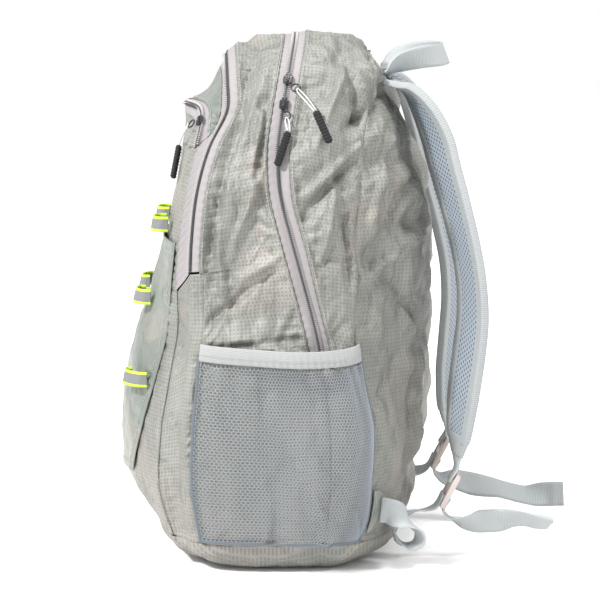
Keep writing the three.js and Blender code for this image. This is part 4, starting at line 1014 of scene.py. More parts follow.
@dataclass(frozen=True)
class WebbingFinish:
    """Woven webbing or elastic: ribs across or along it, and fine threads."""

    name: str
    color: Color
    pitch: float = 1.5
    lengthwise: bool = False
    depth: float = 0.3
    edge: Color | None = None
    edge_from: float = 0.0

    def build(self) -> Material:
        """Makes the material."""
        s = Shader(self.name, 0.72)
        across, along = s.cloth()
        ribs = s.stripes(across if self.lengthwise else along, self.pitch, 0.6)
        threads = s.stripes(along if self.lengthwise else across, self.pitch * 0.7, 0.6)
        shade = tuple(c * 0.80 for c in self.color)
        color = s.blend(ribs, shade, self.color)
        color = s.blend(s.math("MULTIPLY", threads, 0.25), color, shade)
        if self.edge:
            outer = s.math("GREATER_THAN", s.math("ABSOLUTE", across), self.edge_from * MM)
            color = s.blend(outer, color, self.edge)
        s.paint(color)
        s.emboss(ribs, self.depth, 0.7)
        s.emboss(threads, self.depth * 0.4, 0.5)
        return s.material


@dataclass(frozen=True)
class AirMeshFinish:
    """Spacer mesh with rows of oval holes, each row half a pitch on from the last; the holes' dark colour
    paints the shade inside them.
    """

    name: str
    color: Color
    hole: Color
    pitch_across: float = 4.4
    pitch_along: float = 5.2
    spread_across: float = 2.4
    spread_along: float = 2.5
    hole_edge: float = 0.55
    hole_sharpness: float = 4.0

    def build(self) -> Material:
        """Makes the material."""
        s = Shader(self.name, 0.8)
        across, along = s.cloth()
        column = s.math("DIVIDE", across, self.pitch_across * MM)
        odd = s.math("MULTIPLY", s.math("FLOORED_MODULO", s.math("FLOOR", column), 2.0), 0.5)
        row = s.math("FRACT", s.math("ADD", s.math("DIVIDE", along, self.pitch_along * MM), odd))
        wide = s.math("MULTIPLY", s.math("SUBTRACT", s.math("FRACT", column), 0.5),
                      self.spread_across)
        tall = s.math("MULTIPLY", s.math("SUBTRACT", row, 0.5), self.spread_along)
        radius = s.math("ADD", s.math("MULTIPLY", wide, wide), s.math("MULTIPLY", tall, tall))
        soft = s.math("MULTIPLY", s.math("SUBTRACT", self.hole_edge, radius), self.hole_sharpness)
        hole = s.node("ShaderNodeClamp", {0: soft}).outputs[0]
        # Painted shade: the holes take a dark colour for the shade inside them.
        s.paint(s.blend(hole, self.color, self.hole))
        s.emboss(hole, -1.1, 0.9)
        s.emboss(s.noise(2.0, 1.0), 0.25, 0.5)
        return s.material


@dataclass(frozen=True)
class PlainFinish:
    """One colour, with a slight mottle in its shine."""

    name: str
    color: Color
    roughness: float = 0.5
    metallic: float = 0.0
    grain: float = 0.0
    grain_size: float = 3.0
    shine: float = 0.5

    def build(self) -> Material:
        """Makes the material."""
        s = Shader(self.name, self.roughness, self.metallic)
        s.surface.inputs["Specular IOR Level"].default_value = self.shine
        s.paint(self.color)
        if self.grain:
            s.emboss(s.noise(self.grain_size, 3.0), self.grain, 0.6)
        return s.material


class Finishes:
    """Every material of the bag, each made once."""

    def __init__(self) -> None:
        """Makes the materials."""
        self.ripstop = ClothFinish("ripstop_cloth", (0.202, 0.203, 0.182), (0.134, 0.136, 0.122)).build()
        # The light cloth is a thinner, greener cloth without the ripstop grid. Its colour is also set darker,
        # partly painting the shade on the sagging slack panel; the patch pocket and tabs share it.
        self.light_cloth = ClothFinish(
            "light_cloth", (0.150, 0.166, 0.147), (0.112, 0.125, 0.112), grid=0.0, crinkle=0.6,
            roughness=0.44).build()
        self.tape = WebbingFinish("zip_tape_cloth", (0.255, 0.236, 0.24), 1.0, True, 0.15).build()
        self.chain = PlainFinish("zip_coil", (0.28, 0.26, 0.262), 0.4).build()
        # Painted shade: the near-black zip strip stands for the shade between the coil teeth.
        self.chain_gap_shade = PlainFinish("zip_gap_shade", (0.025, 0.026, 0.028), 0.7).build()
        self.metal = PlainFinish("dark_metal", (0.02, 0.02, 0.022), 0.3, 0.3, shine=0.4).build()
        self.cord = WebbingFinish("white_cord", (0.46, 0.475, 0.475), 1.2, False, 0.2).build()
        self.rubber = PlainFinish("black_rubber", (0.012, 0.012, 0.013), 0.6, grain=0.1, shine=0.15).build()
        self.webbing = WebbingFinish("white_webbing", (0.33, 0.35, 0.355), 1.6, False, 0.3).build()
        self.binding = WebbingFinish("white_binding", (0.285, 0.30, 0.305), 2.0, False, 0.5).build()
        self.elastic = WebbingFinish("ribbed_elastic", (0.275, 0.28, 0.278), 1.5, False, 0.2).build()
        self.net = PlainFinish("net_thread", (0.275, 0.305, 0.335), 0.6).build()
        # The air mesh's dark hole colour paints the shade inside the holes.
        self.air_mesh = AirMeshFinish("air_mesh", (0.235, 0.27, 0.305), (0.07, 0.085, 0.105)).build()
        self.plastic = PlainFinish("pale_plastic", (0.36, 0.31, 0.29), 0.42, grain=0.05).build()
        self.lash = WebbingFinish(
            "lash_tape", (0.15, 0.16, 0.157), 1.2, True, 0.2, (0.42, 0.60, 0.03), 5.0).build()
        self.thread = PlainFinish("sewing_thread", (0.30, 0.305, 0.28), 0.7).build()
        self.dark_thread = PlainFinish("dark_thread", (0.24, 0.25, 0.23), 0.7).build()
        self.edging = WebbingFinish("dark_edging", (0.10, 0.12, 0.14), 1.2, False, 0.25).build()


@dataclass(frozen=True)
class Crinkle:
    """How a cloth crumples between its seams: facets, ridges, fine wrinkles and puckers, in millimetres."""

    facet: float = 7.0
    facet_size: float = 62
    ridge: float = 4.2
    ridge_size: float = 44
    fine: float = 0.7
    fine_size: float = 9
    pucker: float = 1.4
    pucker_pitch: float = 11
    pucker_reach: float = 7
    pucker_drift: float = 1.8
    pucker_drift_size: float = 34
    pucker_least: float = 0.6
    pucker_swell_size: float = 24
    seam_reach: float = 4.5
    hold: float = 5
    upright: float = 0.62
    facet_mean: float = 0.35
    second_facet: float = 0.5
    second_ridge: float = 0.4
    second_fine: float = 1.4
    second_fine_size: float = 2.3
    fold_gain: float = 2.0
    pocket_top: float = 212
    pocket_blur: float = 5
    pocket_from: float = 90
    pocket_calm: float = 0.6

    def calm(self, point: np.ndarray) -> Grid:
        """How much of the crumpling is left at each point: less behind the side pockets."""
        below = 1 / (1 + np.exp((point[..., 2] - self.pocket_top) / self.pocket_blur))
        return 1 - self.pocket_calm * below * (np.abs(point[..., 0]) > self.pocket_from)

    def crumple(self, point: np.ndarray, seed: int) -> Grid:
        """Facets, ridges and fine wrinkles, each at two sizes, upright ones longer than wide ones."""
        squeezed = point * np.array([1, 1, self.upright])
        facet = lambda size, key: facets(squeezed, size, key) - self.facet_mean
        push = self.facet * facet(self.facet_size, seed)
        push += self.second_facet * self.facet * facet(self.facet_size / 2, seed + 11)
        push -= self.ridge * creases(squeezed, self.ridge_size, seed + 23)
        push += self.second_ridge * self.ridge * creases(squeezed, self.ridge_size / 2, seed + 27)
        push += self.fine * noise(point, self.fine_size, seed + 31)
        push += self.fine * self.second_fine * noise(point, self.fine_size * self.second_fine_size, seed + 37)
        return push

    def apply(self, cells: Cells, seed: int, dips: tuple[Grid | float, Grid | float] = (1.2, 1.2),
              folds: Callable[[np.ndarray], np.ndarray] | None = None) -> Cells:
        """Moves a panel's points along their outward directions.

        Args:
            cells: The panel's points and directions.
            seed: Which crumpling it is.
            dips: How far the cloth is drawn in at its first and last columns.
            folds: A push for each point from the bag's fine folds.

        Returns:
            The moved points, and the same directions.
        """
        point, out = cells
        across, along = lengths_along(point, 1), lengths_along(point, 0)
        from_first, from_last = across, across[:, -1:] - across
        near = np.minimum(from_first, from_last)
        ends = np.minimum(along, along[-1:] - along)
        free = (1 - fade(near, self.hold)) * (1 - fade(ends, self.hold))
        push = self.crumple(point, seed)
        if folds is not None:
            push += self.fold_gain * folds(point)
        push *= free * self.calm(point)
        for away, dip, turn in ((from_first, dips[0], 0.0), (from_last, dips[1], 1.7)):
            drift = self.pucker_drift * noise(point, self.pucker_drift_size, seed + 41)
            swell = mix(self.pucker_least, 1, noise(point, self.pucker_swell_size, seed + 43))
            ripple = swell * np.sin(TURN * (along / self.pucker_pitch + drift + turn))
            reach = away / self.pucker_reach
            push += self.pucker * ripple * reach * np.exp(1 - reach) * (1 - fade(ends, self.hold))
            push -= dip * fade(away, self.seam_reach)
        return point + out * push[..., None], out


@dataclass
class Piece:
    """What every sub-assembly shares: the bag's shape, its finishes, and how a piece is kept."""

    shape: BagShape
    finishes: Finishes
    made: list[Object] = field(default_factory=list, init=False)

    @property
    def bag(self) -> BagSizes:
        """The bag's sizes."""
        return self.shape.bag

    def keep(self, obj: Object, material: Material, slot: str,
             *nodes: str) -> Object:
        """Gives a piece its material and body, and hides the CAD nodes it stands for."""
        if not obj.data.materials:
            obj.data.materials.append(material)
        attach(obj, BODY)
        if nodes:
            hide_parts(*nodes)
        self.made.append(obj)
        return obj

    def report(self) -> None:
        """Logs how many pieces and triangles this sub-assembly has."""
        count = sum(len(p.vertices) - 2 for o in self.made for p in o.data.polygons)
        log.info("%s: %d pieces, %d triangles", type(self).__name__, len(self.made), count)


@dataclass
class Cloth(Piece):
    """The bag's cloth panels."""

    rows: int = 226
    front_columns: int = 64
    back_columns: int = 46
    slack_columns: int = 26
    cap_rows: int = 140
    cap_columns: int = 92
    cap_end: float = 0.992
    gusset_rows: int = 150
    gusset_fore: int = 12
    gusset_aft: int = 9
    rim_steps: int = 40
    base_rings: int = 12
    wall_rings: int = 22
    over_tape: float = -0.5
    tape_overlap: float = 0.4
    seam_dip: float = 4.5
    crinkle: Crinkle = Crinkle()
    rough: Crinkle = Crinkle(facet=9.0, facet_size=54, ridge=6.0, ridge_size=38, fine=0.9)

    def band_grid(self, surface: Surface, front: Arch, back: Arch, start: float,
                  margins: tuple[Along, Along], columns: int,
                  ends: Sequence[float]) -> Cells:
        """A panel between two arches, over the top.

        Args:
            surface: The band's surface.
            front: The arch at its front edge.
            back: The arch at its back edge.
            start: The share up where it starts.
            margins: The margins at its front and back edges, from shares up.
            columns: How many columns.
            ends: Shares where a margin changes.

        Returns:
            Points and outward directions.
        """
        def cells(t: np.ndarray) -> Cells:
            length = self.shape.band_length(front, back, t)
            low, high = margins[0](t) / length, 1 - margins[1](t) / length
            share = mix(low[:, None], high[:, None], np.linspace(0, 1, columns)[None])
            return surface(share, np.broadcast_to(t[:, None], share.shape))

        return over_the_top(cells, shares_with(start, self.rows, ends))

    def margins(self, t: np.ndarray) -> tuple[Grid, Grid]:
        """The margins behind the middle zip and beside the main zip."""
        shape, bag = self.shape, self.bag
        middle = np.where(t > shape.middle_end, bag.zip_margin, bag.gusset)
        main = np.where(t > shape.main_end, bag.zip_margin, 0.0)
        return middle, main

    def build(self) -> None:
        """Makes every panel."""
        self.body_panels()
        self.caps()
        self.gussets()
        self.slack_panel()
        self.bottom()

    def body_panels(self) -> None:
        """The two big panels on each side of the main zip."""
        shape = self.shape
        ends = (shape.middle_end, shape.main_end)
        t = shares_with(0, self.rows, ends)
        both = np.r_[t, t[:-1][::-1]]
        on_main = np.where(both > shape.main_end, self.over_tape, 1.6)[:, None]
        on_middle = np.where(both > shape.middle_end, self.over_tape, 1.8)[:, None]
        fine = lambda p: shape.fold_push(p, FINE_FOLDS)
        front = self.band_grid(shape.front_body, shape.middle_zip, shape.main_zip, 0, (
            lambda t: self.margins(t)[0], lambda t: self.margins(t)[1]), self.front_columns, ends)
        front = self.crinkle.apply(front, 3, (on_middle, on_main), fine)
        self.keep(shell("front_body_cloth", front, self.bag.cloth), self.finishes.ripstop, "ripstop",
                  "front_body_panel")
        back = self.band_grid(shape.back_body, shape.main_zip, shape.back_seam, 0, (
            lambda t: self.margins(t)[1], lambda t: 0 * t), self.back_columns, ends)
        back = self.crinkle.apply(back, 17, (on_main, self.seam_dip), fine)
        self.keep(shell("back_body_cloth", back, self.bag.cloth), self.finishes.ripstop, "ripstop",
                  "back_body_panel")

    def caps(self) -> None:
        """The front and back panels."""
        shape, bag = self.shape, self.bag
        fine = lambda p: shape.fold_push(p, FINE_FOLDS)
        rows = shares_with(0, self.cap_rows, (shape.front_end,))
        across, t = np.meshgrid(np.linspace(-1, 1, self.cap_columns), rows[rows < self.cap_end])
        margin = np.where(t > shape.front_end, bag.front_tape_half - self.tape_overlap, 0.0)
        cells = shape.front(across, t, margin)
        cells = Crinkle(facet=3.2, ridge=2.0).apply(cells, 29, (1.2, 1.2))
        self.keep(shell("front_cloth", cells, bag.cloth), self.finishes.ripstop, "ripstop", "front_panel")
        cells = self.rough.apply(shape.back(across, t), 31, (self.seam_dip, self.seam_dip), fine)
        self.keep(shell("back_cloth", cells, bag.cloth), self.finishes.ripstop, "ripstop", "back_panel")

    def gussets(self) -> None:
        """The strips below the middle zip, from the front seam round to the side seam."""
        shape = self.shape
        rows = np.linspace(0, shape.middle_end, self.gusset_rows)
        fore = shape.slack(*np.meshgrid(np.linspace(0, 1, self.gusset_fore), rows))
        part, t = np.meshgrid(np.linspace(0, 1, self.gusset_aft + 1)[1:], rows)
        length = shape.band_length(shape.middle_zip, shape.main_zip, t)
        aft = shape.front_body(part * self.bag.gusset / length, t)
        cells = tuple(np.concatenate(pair, axis=1) for pair in zip(fore, aft))
        for side in Side:
            placed = self.crinkle.apply(on_side(side, cells), 37, (2.2, 1.8))
            self.keep(shell(f"gusset_cloth_{side.word}", placed, self.bag.cloth), self.finishes.ripstop,
                      "ripstop", f"gusset_{side.word}")

    def slack_panel(self) -> None:
        """The loose panel on top, between the front zip and the middle zip."""
        shape, bag = self.shape, self.bag
        cells = self.band_grid(shape.slack, shape.front_seam, shape.middle_zip, shape.front_end + 0.001, (
            lambda t: bag.front_tape_half - self.tape_overlap + 0 * t,
            lambda t: bag.zip_margin + 0 * t), self.slack_columns, ())
        soft = Crinkle(facet=1.6, ridge=1.2, fine=0.3, pucker=1.0)
        cells = soft.apply(cells, 43, (self.over_tape, self.over_tape))
        self.keep(shell("slack_top_cloth", cells, bag.cloth), self.finishes.light_cloth, "light_cloth",
                  "slack_top_panel")

    def rim(self, steps: int) -> np.ndarray:
        """The outline at the foot of the side panels, going round from the left of the front."""
        shape = self.shape
        zero = lambda n: np.zeros((1, n))
        across = np.linspace(-1, 1, steps)[None]
        part = np.linspace(0, 1, steps)[None]
        front = shape.front(across, zero(steps))[0][0]
        back = shape.back(-across, zero(steps))[0][0]
        sides = [shape.slack(part, zero(steps))[0][0], shape.front_body(part, zero(steps))[0][0],
                 shape.back_body(part, zero(steps))[0][0]]
        right = np.concatenate([s[1:] for s in sides])[:-1]
        left = (right * np.array([-1, 1, 1]))[::-1]
        return np.concatenate([front, right, back, left])

    def bottom(self) -> None:
        """The bottom: a flat base on the floor and a rounded wall up to the rim."""
        bag = self.bag
        rim = self.rim(self.rim_steps)
        middle = np.array([0, bag.base_shift * bag.depth, 0])
        base = rim * np.array([bag.base_across, bag.base_along, 0]) + middle
        inner = mix(middle, base[None], np.linspace(0.02, 0.96, self.base_rings)[:, None, None])
        turn = np.linspace(0, math.pi / 2, self.wall_rings)[:, None, None]
        level = (rim - base) * np.array([1, 1, 0])
        wall = base + level * np.sin(turn)
        wall[..., 2] = (bag.rim_height * (1 - np.cos(turn)))[..., 0]
        wall_out = unit(level) * np.sin(turn)
        wall_out[..., 2] = -np.cos(turn)[..., 0]
        flat_out = np.broadcast_to(np.array([0, 0, -1.0]), inner.shape)
        point, out = np.concatenate([inner, wall]), np.concatenate([flat_out, wall_out])
        height = point[..., 2]
        rise = clamp(height / 8) * clamp((bag.rim_height - height) / 4)
        push = rise * (2.0 * (facets(point, 34, 47) - 0.35) - 1.0 * creases(point, 18, 49))
        point = point + out * push[..., None]
        rows, columns = point.shape[:2]
        inside = point - out * bag.cloth
        quads = grid_faces(rows, columns, wrap=True)
        a, b, d = (point.reshape(-1, 3)[quads[:, k]] for k in (0, 1, 3))
        if np.sum(np.cross(b - a, d - a) * out.reshape(-1, 3)[quads[:, 0]]) < 0:
            quads = quads[:, ::-1]
        count = rows * columns
        ring, after = np.arange(columns), np.roll(np.arange(columns), -1)
        last = (rows - 1) * columns
        outer, outer_after = last + ring, last + after
        rim_strip = np.stack([outer, outer_after, outer_after + count, outer + count], axis=1)
        centre_cap = [ring[None], (ring + count)[None, ::-1]]
        obj = make_object("bottom_cloth", np.concatenate([point.reshape(-1, 3), inside.reshape(-1, 3)]),
                          [quads, quads[:, ::-1] + count, rim_strip, *centre_cap],
                          np.concatenate([point[..., :2].reshape(-1, 2)] * 2))
        self.keep(obj, self.finishes.ripstop, "ripstop", "bottom_panel")


@dataclass
class Zips(Piece):
    """The three zips: tapes, coils and the stitches beside them."""

    rows: int = 250
    front_rows: int = 120
    columns: int = 11
    overlap: float = 0.004
    tape_thick: float = 0.5
    tape_ripple: float = 0.5
    ripple_pitch: float = 8.5
    edge_drop: float = 0.7
    gap_shade_half: float = 1.5
    gap_shade_height: float = 1.35
    tooth: tuple[float, ...] = (3.0, 1.1, 1.5)
    tooth_pitch: float = 2.0
    tooth_across: float = 2.1
    tooth_stagger: float = 0.5
    tooth_height: float = 1.2
    seam_gap: float = 1.8
    seam_height: float = 0.9

    def build(self) -> None:
        """Makes every zip."""
        shape, bag = self.shape, self.bag
        self.zip("main", shape.beside_main, shape.main_end + self.overlap, bag.tape_half, None)
        length = lambda t: shape.band_length(shape.front_seam, shape.middle_zip, t) - 0.3
        low = lambda t: fade(np.maximum(0, t - shape.front_end), 0.012)
        room = lambda t: mix(np.minimum(bag.tape_half, length(t)), length(t) + 1.2, low(t))
        self.zip("middle", shape.beside_middle, shape.middle_end + self.overlap, bag.tape_half, room)
        self.zip("front", shape.beside_front, shape.front_end + self.overlap, bag.front_tape_half, None)

    def zip(self, name: str, beside: Surface, start: float, half: float,
            room: Along | None) -> None:
        """One zip: a tape with puckered edges, two rows of coil teeth and a near-black strip under them that
        paints the shade between the teeth.

        Args:
            name: The zip's name.
            beside: The surface at distances from the zip's line.
            start: The share up where it starts.
            half: Half the tape's width.
            room: How much room there is before the zip, where that can be less.
        """
        def cells(t: np.ndarray, offsets: np.ndarray) -> Cells:
            before = np.full(len(t), half) if room is None else room(t)
            offset = np.where(offsets < 0, offsets * before[:, None] / half, offsets)
            return beside(offset, np.broadcast_to(t[:, None], offset.shape))

        rows = self.front_rows if name == "front" else self.rows
        t = np.linspace(start, 1, rows)
        offsets = np.linspace(-half, half, self.columns)[None] * np.ones((rows, 1))
        point, out = over_the_top(lambda t: cells(t, offsets), t)
        along = lengths_along(point, 0)
        away = (offsets[:1] / half) ** 2
        wave = np.sin(TURN * along / self.ripple_pitch + 2 * noise(point, 40, 5))
        tape = point + out * ((self.tape_ripple * wave - self.edge_drop) * away)[..., None]
        self.keep(shell(f"{name}_tape", (tape, out), self.tape_thick), self.finishes.tape, "zip_tape",
                  f"{name}_zip_tape")
        # Painted shade: a near-black strip under the teeth, seen only between them, stands for the shade in
        # the chain.
        narrow = np.linspace(-self.gap_shade_half, self.gap_shade_half, 3)[None] * np.ones((rows, 1))
        core = over_the_top(lambda t: cells(t, narrow), t)
        gap_shade_obj = shell(f"{name}_core", (core[0] + core[1] * self.gap_shade_height, core[1]), self.tape_thick)
        gap_shade_obj.data.materials.append(self.finishes.chain_gap_shade)
        line, outs = over_the_top(lambda t: cells(t, np.zeros((rows, 1))), t)
        centres, directions = even_line(line[:, 0], outs[:, 0], self.tooth_pitch)
        axes = frames_along(centres, directions)
        template, faces = bead_template(*self.tooth)
        turned = template[:, [1, 0, 2]] * np.array([1, -1, 1])
        parts = [gap_shade_obj]
        for side in (-1, 1):
            offset = np.array([side * self.tooth_across, side * self.tooth_stagger, self.tooth_height])
            parts.append(scatter(f"{name}_teeth", turned, faces, centres + offset @ axes, axes))
            parts[-1].data.materials.append(self.finishes.chain)
        coil = joined(f"{name}_coil", parts)
        self.keep(coil, self.finishes.chain, "zip_chain", f"{name}_zip_chain")
        lines = []
        for offset in (-half - self.seam_gap, half + self.seam_gap):
            if name != "main" and offset < 0:
                continue
            row, direction = over_the_top(lambda t: beside(np.full((rows, 1), offset), t[:, None]), t)
            lines.append((row[:, 0] + direction[:, 0] * self.seam_height, direction[:, 0]))
        sewn = stitches(f"{name}_zip_stitches", lines)
        self.keep(sewn, self.finishes.thread, "zip_tape")


@dataclass
class PatchPocket(Piece):
    """The flat pocket on the front, with its hemmed top edge."""

    stand: float = 1.9
    swell: float = 5.0
    hem: float = 0.06
    reach: float = 0.9
    taper: float = 0.35
    columns: int = 90
    rows: int = 110
    seams: tuple[int, ...] = (3, -4, 3, -6)

    def lift(self, side: Grid, up: Grid) -> Grid:
        """How far the pocket stands off the front panel."""
        return self.stand + self.swell * (1 - side**4) * arc(mix(self.hem, 1 - self.hem, up))

    def build(self) -> None:
        """Makes the pocket and its stitches."""
        shape, bag = self.shape, self.bag
        low, high = (shape.front_seam.share_at(z) for z in (bag.patch_bottom, bag.patch_top))
        side, up = np.meshgrid(np.linspace(-1, 1, self.columns), np.linspace(0, 1, self.rows))
        reach = self.reach * (1 - self.taper * (1 - up) ** 3)
        point, out = shape.front(side * reach, mix(low, high, up))
        cells = point + out * self.lift(side, up)[..., None], out
        soft = Crinkle(facet=3.0, ridge=2.2, fine=0.5, pucker=1.0)
        point, out = soft.apply(cells, 53, (1.2, 1.2))
        obj = shell("patch_pocket_cloth", (point, out), 1.0)
        self.keep(obj, self.finishes.light_cloth, "light_cloth", "front_patch_pocket")
        left, right, low, high = self.seams
        sewn = point + out * 0.2
        edges = [*((sewn[:, k], out[:, k]) for k in (left, right)), *((sewn[k], out[k]) for k in (low, high))]
        self.keep(stitches("patch_pocket_stitches", edges), self.finishes.thread, "light_cloth")


@dataclass
class SidePocket(Piece):
    """A net side pocket with an elastic band along its mouth."""

    side: Side = Side.RIGHT
    pitch: float = 3.3
    thread: float = 0.7
    sag: float = 4.0
    mouth_rise: float = 1.5
    even: float = 0.42
    groove: float = 6.0
    stand: float = 1.8
    gathers: int = 9
    gather_depth: float = 2.0
    gather_slant: float = 0.6
    gather_from: float = 0.7
    rows_a_pitch: float = 0.866
    band_grid: tuple[int, ...] = (220, 12)
    band_thick: float = 1.8
    seam_row: int = 4
    edge_steps: tuple[int, ...] = (60, 80)
    edge_section: tuple[float, ...] = (3.0, 1.3, 10)
    # How deep each fold is, where it starts across, its slope, its breadth and how much is left by height.
    folds: tuple[tuple, ...] = (
        (9.0, 0.62, -0.42, 0.035, lambda up: clamp(1.1 - up)),
        (-7.0, 0.30, 0.10, 0.03, lambda up: clamp(1.0 - 1.6 * up)),
        (7.0, 0.62, 0.15, 0.05, lambda up: arc(clamp(up))),
        (-3.2, 0.98, -1.1, 0.03, lambda up: clamp(1 - 3.5 * up)),
    )

    def lift(self, share: Grid, up: Grid) -> Grid:
        """How far the net stands off the side panel: full in the middle, held at its edges."""
        full = self.bag.pocket_fullness * arc(clamp(up * 0.86 + 0.02)) ** 0.6
        across = arc(clamp(share)) ** 0.7
        return self.stand + across * np.maximum(full, self.bag.pocket_mouth * up)

    def creased(self, share: Grid, up: Grid) -> Grid:
        """The net's own folds: gathers under the band, a dart at the foot and a folded corner."""
        gathers = np.sin(TURN * (share * self.gathers + self.gather_slant * up))
        push = self.gather_depth * gathers * clamp((up - self.gather_from) / (1 - self.gather_from))
        for depth, start, slope, breadth, left in self.folds:
            push += depth * fade(share - start - slope * up, breadth) * left(up)
        return push * arc(clamp(share)) ** 0.5

    def surface(self, share: Grid, up: Grid) -> Cells:
        """The net's surface by shares across and up."""
        bag, main = self.bag, self.shape.main_zip
        low, high = (main.share_at(z) for z in (bag.pocket_bottom, bag.pocket_top))
        share, up = np.broadcast_arrays(share, up)
        point, out = self.bridged(share, mix(low, high, up))
        push = self.lift(share, up) + self.creased(share, up)
        point = point + out * push[..., None]
        point[..., 2] = mix(bag.pocket_bottom, bag.pocket_top + self.mouth_rise, up)
        point[..., 2] -= self.sag * arc(clamp(share)) * clamp(up) ** 2
        return on_side(self.side, (point, out))

    def bridged(self, share: Grid, t: Grid) -> Cells:
        """The side's surface evened out across, as cloth that bridges the groove at the zip's line."""
        reach = self.even * arc(clamp(share))
        steps = np.linspace(-1, 1, 13)
        cells = [self.shape.side(clamp(share + reach * step), t, 0.5) for step in steps]
        point, out = (np.mean([cell[k] for cell in cells], axis=0) for k in (0, 1))
        groove = self.groove * arc(clamp(share)) ** 2
        return point + unit(out) * groove[..., None], unit(out)

    def build(self) -> None:
        """Makes the net, the band, the edging and the stitches."""
        word = self.side.word
        self.keep(self.net(f"net_{word}"), self.finishes.net, "net", f"net_pocket_{word}")
        self.band()
        self.edging()

    def net(self, name: str) -> Object:
        """A honeycomb of threads: each a three-sided bar between two neighbouring knots."""
        share = np.linspace(0, 1, 24)
        middle = self.surface(share[None], np.full((1, 24), 0.5))[0][0]
        width = np.linalg.norm(np.diff(middle, axis=0), axis=1).sum()
        height = self.bag.pocket_top - self.bag.pocket_bottom
        step_x, step_y = self.pitch, self.pitch * self.rows_a_pitch
        columns, rows = int(width / step_x), int(height / step_y)
        c, r = np.meshgrid(np.arange(columns), np.arange(rows))
        x = (c + 0.5 * (r % 2)) * step_x / width
        y = r * step_y / height
        third = step_y / 3 / height
        low = self.surface(x, clamp(y - third))
        high = self.surface(x, clamp(y + third))
        starts, ends, outs = [low[0]], [high[0]], [low[1]]
        odd = (r[:-1] % 2 == 1)
        upper_left = np.where(odd, c[:-1], c[:-1] - 1)
        for column in (upper_left, upper_left + 1):
            good = (column >= 0) & (column < columns)
            rr, cc = np.nonzero(good)
            starts.append(high[0][rr, cc])
            ends.append(low[0][rr + 1, column[rr, cc]])
            outs.append(high[1][rr, cc])
        start, end, out = (np.concatenate([a.reshape(-1, 3) for a in group])
                           for group in (starts, ends, outs))
        along = unit(end - start)
        across = unit(np.cross(along, out))
        radius = self.thread / 2
        corners = [across, -0.5 * across + 0.87 * out, -0.5 * across - 0.87 * out]
        points = np.stack([knot + corner * radius for knot in (start, end) for corner in corners], axis=1)
        base = (np.arange(len(start)) * 6)[:, None, None]
        sides = (np.array([[0, 1, 4, 3], [1, 2, 5, 4], [2, 0, 3, 5]])[None] + base).reshape(-1, 4)
        caps = (np.array([[0, 2, 1], [3, 4, 5]])[None] + base).reshape(-1, 3)
        if self.side is Side.LEFT:
            sides, caps = sides[:, ::-1], caps[:, ::-1]
        return make_object(name, points, [sides, caps])

    def band(self) -> None:
        """The elastic band: ribbed, slightly gathered, with a line of stitches in its lower third."""
        shape, bag, word = self.shape, self.bag, self.side.word
        foot, top = bag.pocket_top - 1, bag.pocket_top + bag.elastic_height
        low, high = (shape.main_zip.share_at(z) for z in (foot, top))
        share, up = np.meshgrid(*(np.linspace(0, 1, count) for count in self.band_grid))
        point, out = self.bridged(share, mix(low, high, up))
        point[..., 2] = mix(foot, top, up) + self.mouth_rise
        point[..., 2] -= self.sag * arc(share)
        ruffle = 0.3 * np.sin(TURN * share * 26) * arc(share) ** 0.5
        roll = 0.8 * arc(up)
        push = self.lift(share, np.ones_like(up)) + 0.6 + ruffle * mix(1.0, 0.4, up) + roll
        point, out = on_side(self.side, (point + out * push[..., None], out))
        self.keep(shell(f"elastic_{word}", (point, out), self.band_thick), self.finishes.elastic, "elastic",
                  f"elastic_band_{word}")
        lines = [(point[self.seam_row] + out[self.seam_row] * 0.15, out[self.seam_row])]
        self.keep(stitches(f"elastic_stitches_{word}", lines, 3.0, 2.0, 0.55), self.finishes.dark_thread,
                  "elastic")

    def edging(self) -> None:
        """The folded edge round the net's foot and sides."""
        word = self.side.word
        tall, wide = self.edge_steps
        up, along = np.linspace(1, 0, tall), np.linspace(0, 1, wide)[1:-1]
        share = np.r_[np.zeros(tall), along, np.ones(tall)]
        rise = np.r_[up, np.zeros(wide - 2), up[::-1]]
        point, out = (a[0] for a in self.surface(share[None], rise[None]))
        axes = frames_along(point, out)
        section = rounded_section(*self.edge_section)
        rings = point[:, None] + axes[:, None, 0] * section[None, :, :1] + axes[:, None, 2] * (
            section[None, :, 1:] + 0.3)
        uv = np.stack([np.broadcast_to(section[None, :, 0], rings.shape[:2]),
                       np.broadcast_to(lengths_along(point[:, None], 0), rings.shape[:2])], axis=-1)
        self.keep(tube(f"net_edging_{word}", rings, uv, True), self.finishes.edging, "net")


# Straps and webbing

STRAP_ROUTE = tuple(Stop(*row) for row in (
    (0.302, 0.376, 0.915, (1, 0, -0.1), 0.8, 0.6),
    (0.315, 0.4, 0.909, (1, 0.1, 0), 0.9, 0.8),
    (0.333, 0.436, 0.896, (1, 0.22, 0)),
    (0.38, 0.487, 0.858, (1, 0.36, 0)),
    (0.42, 0.526, 0.809, (1, 0.42, 0)),
    (0.46, 0.552, 0.754, (1, 0.4, 0)),
    (0.5, 0.582, 0.691, (1, 0.38, 0)),
    (0.53, 0.615, 0.613, (1, 0.36, 0)),
    (0.55, 0.635, 0.547, (1, 0.34, 0)),
    (0.56, 0.641, 0.475, (1, 0.36, 0)),
    (0.567, 0.63, 0.406, (1, 0.38, 0)),
    (0.573, 0.612, 0.322, (1, 0.38, 0), 0.96),
    (0.573, 0.6, 0.25, (1, 0.34, 0), 0.8, 0.9),
    (0.573, 0.594, 0.206, (1, 0.2, 0), 0.5, 0.5),
))
LEFT_STRAP_SHIFT = -0.035
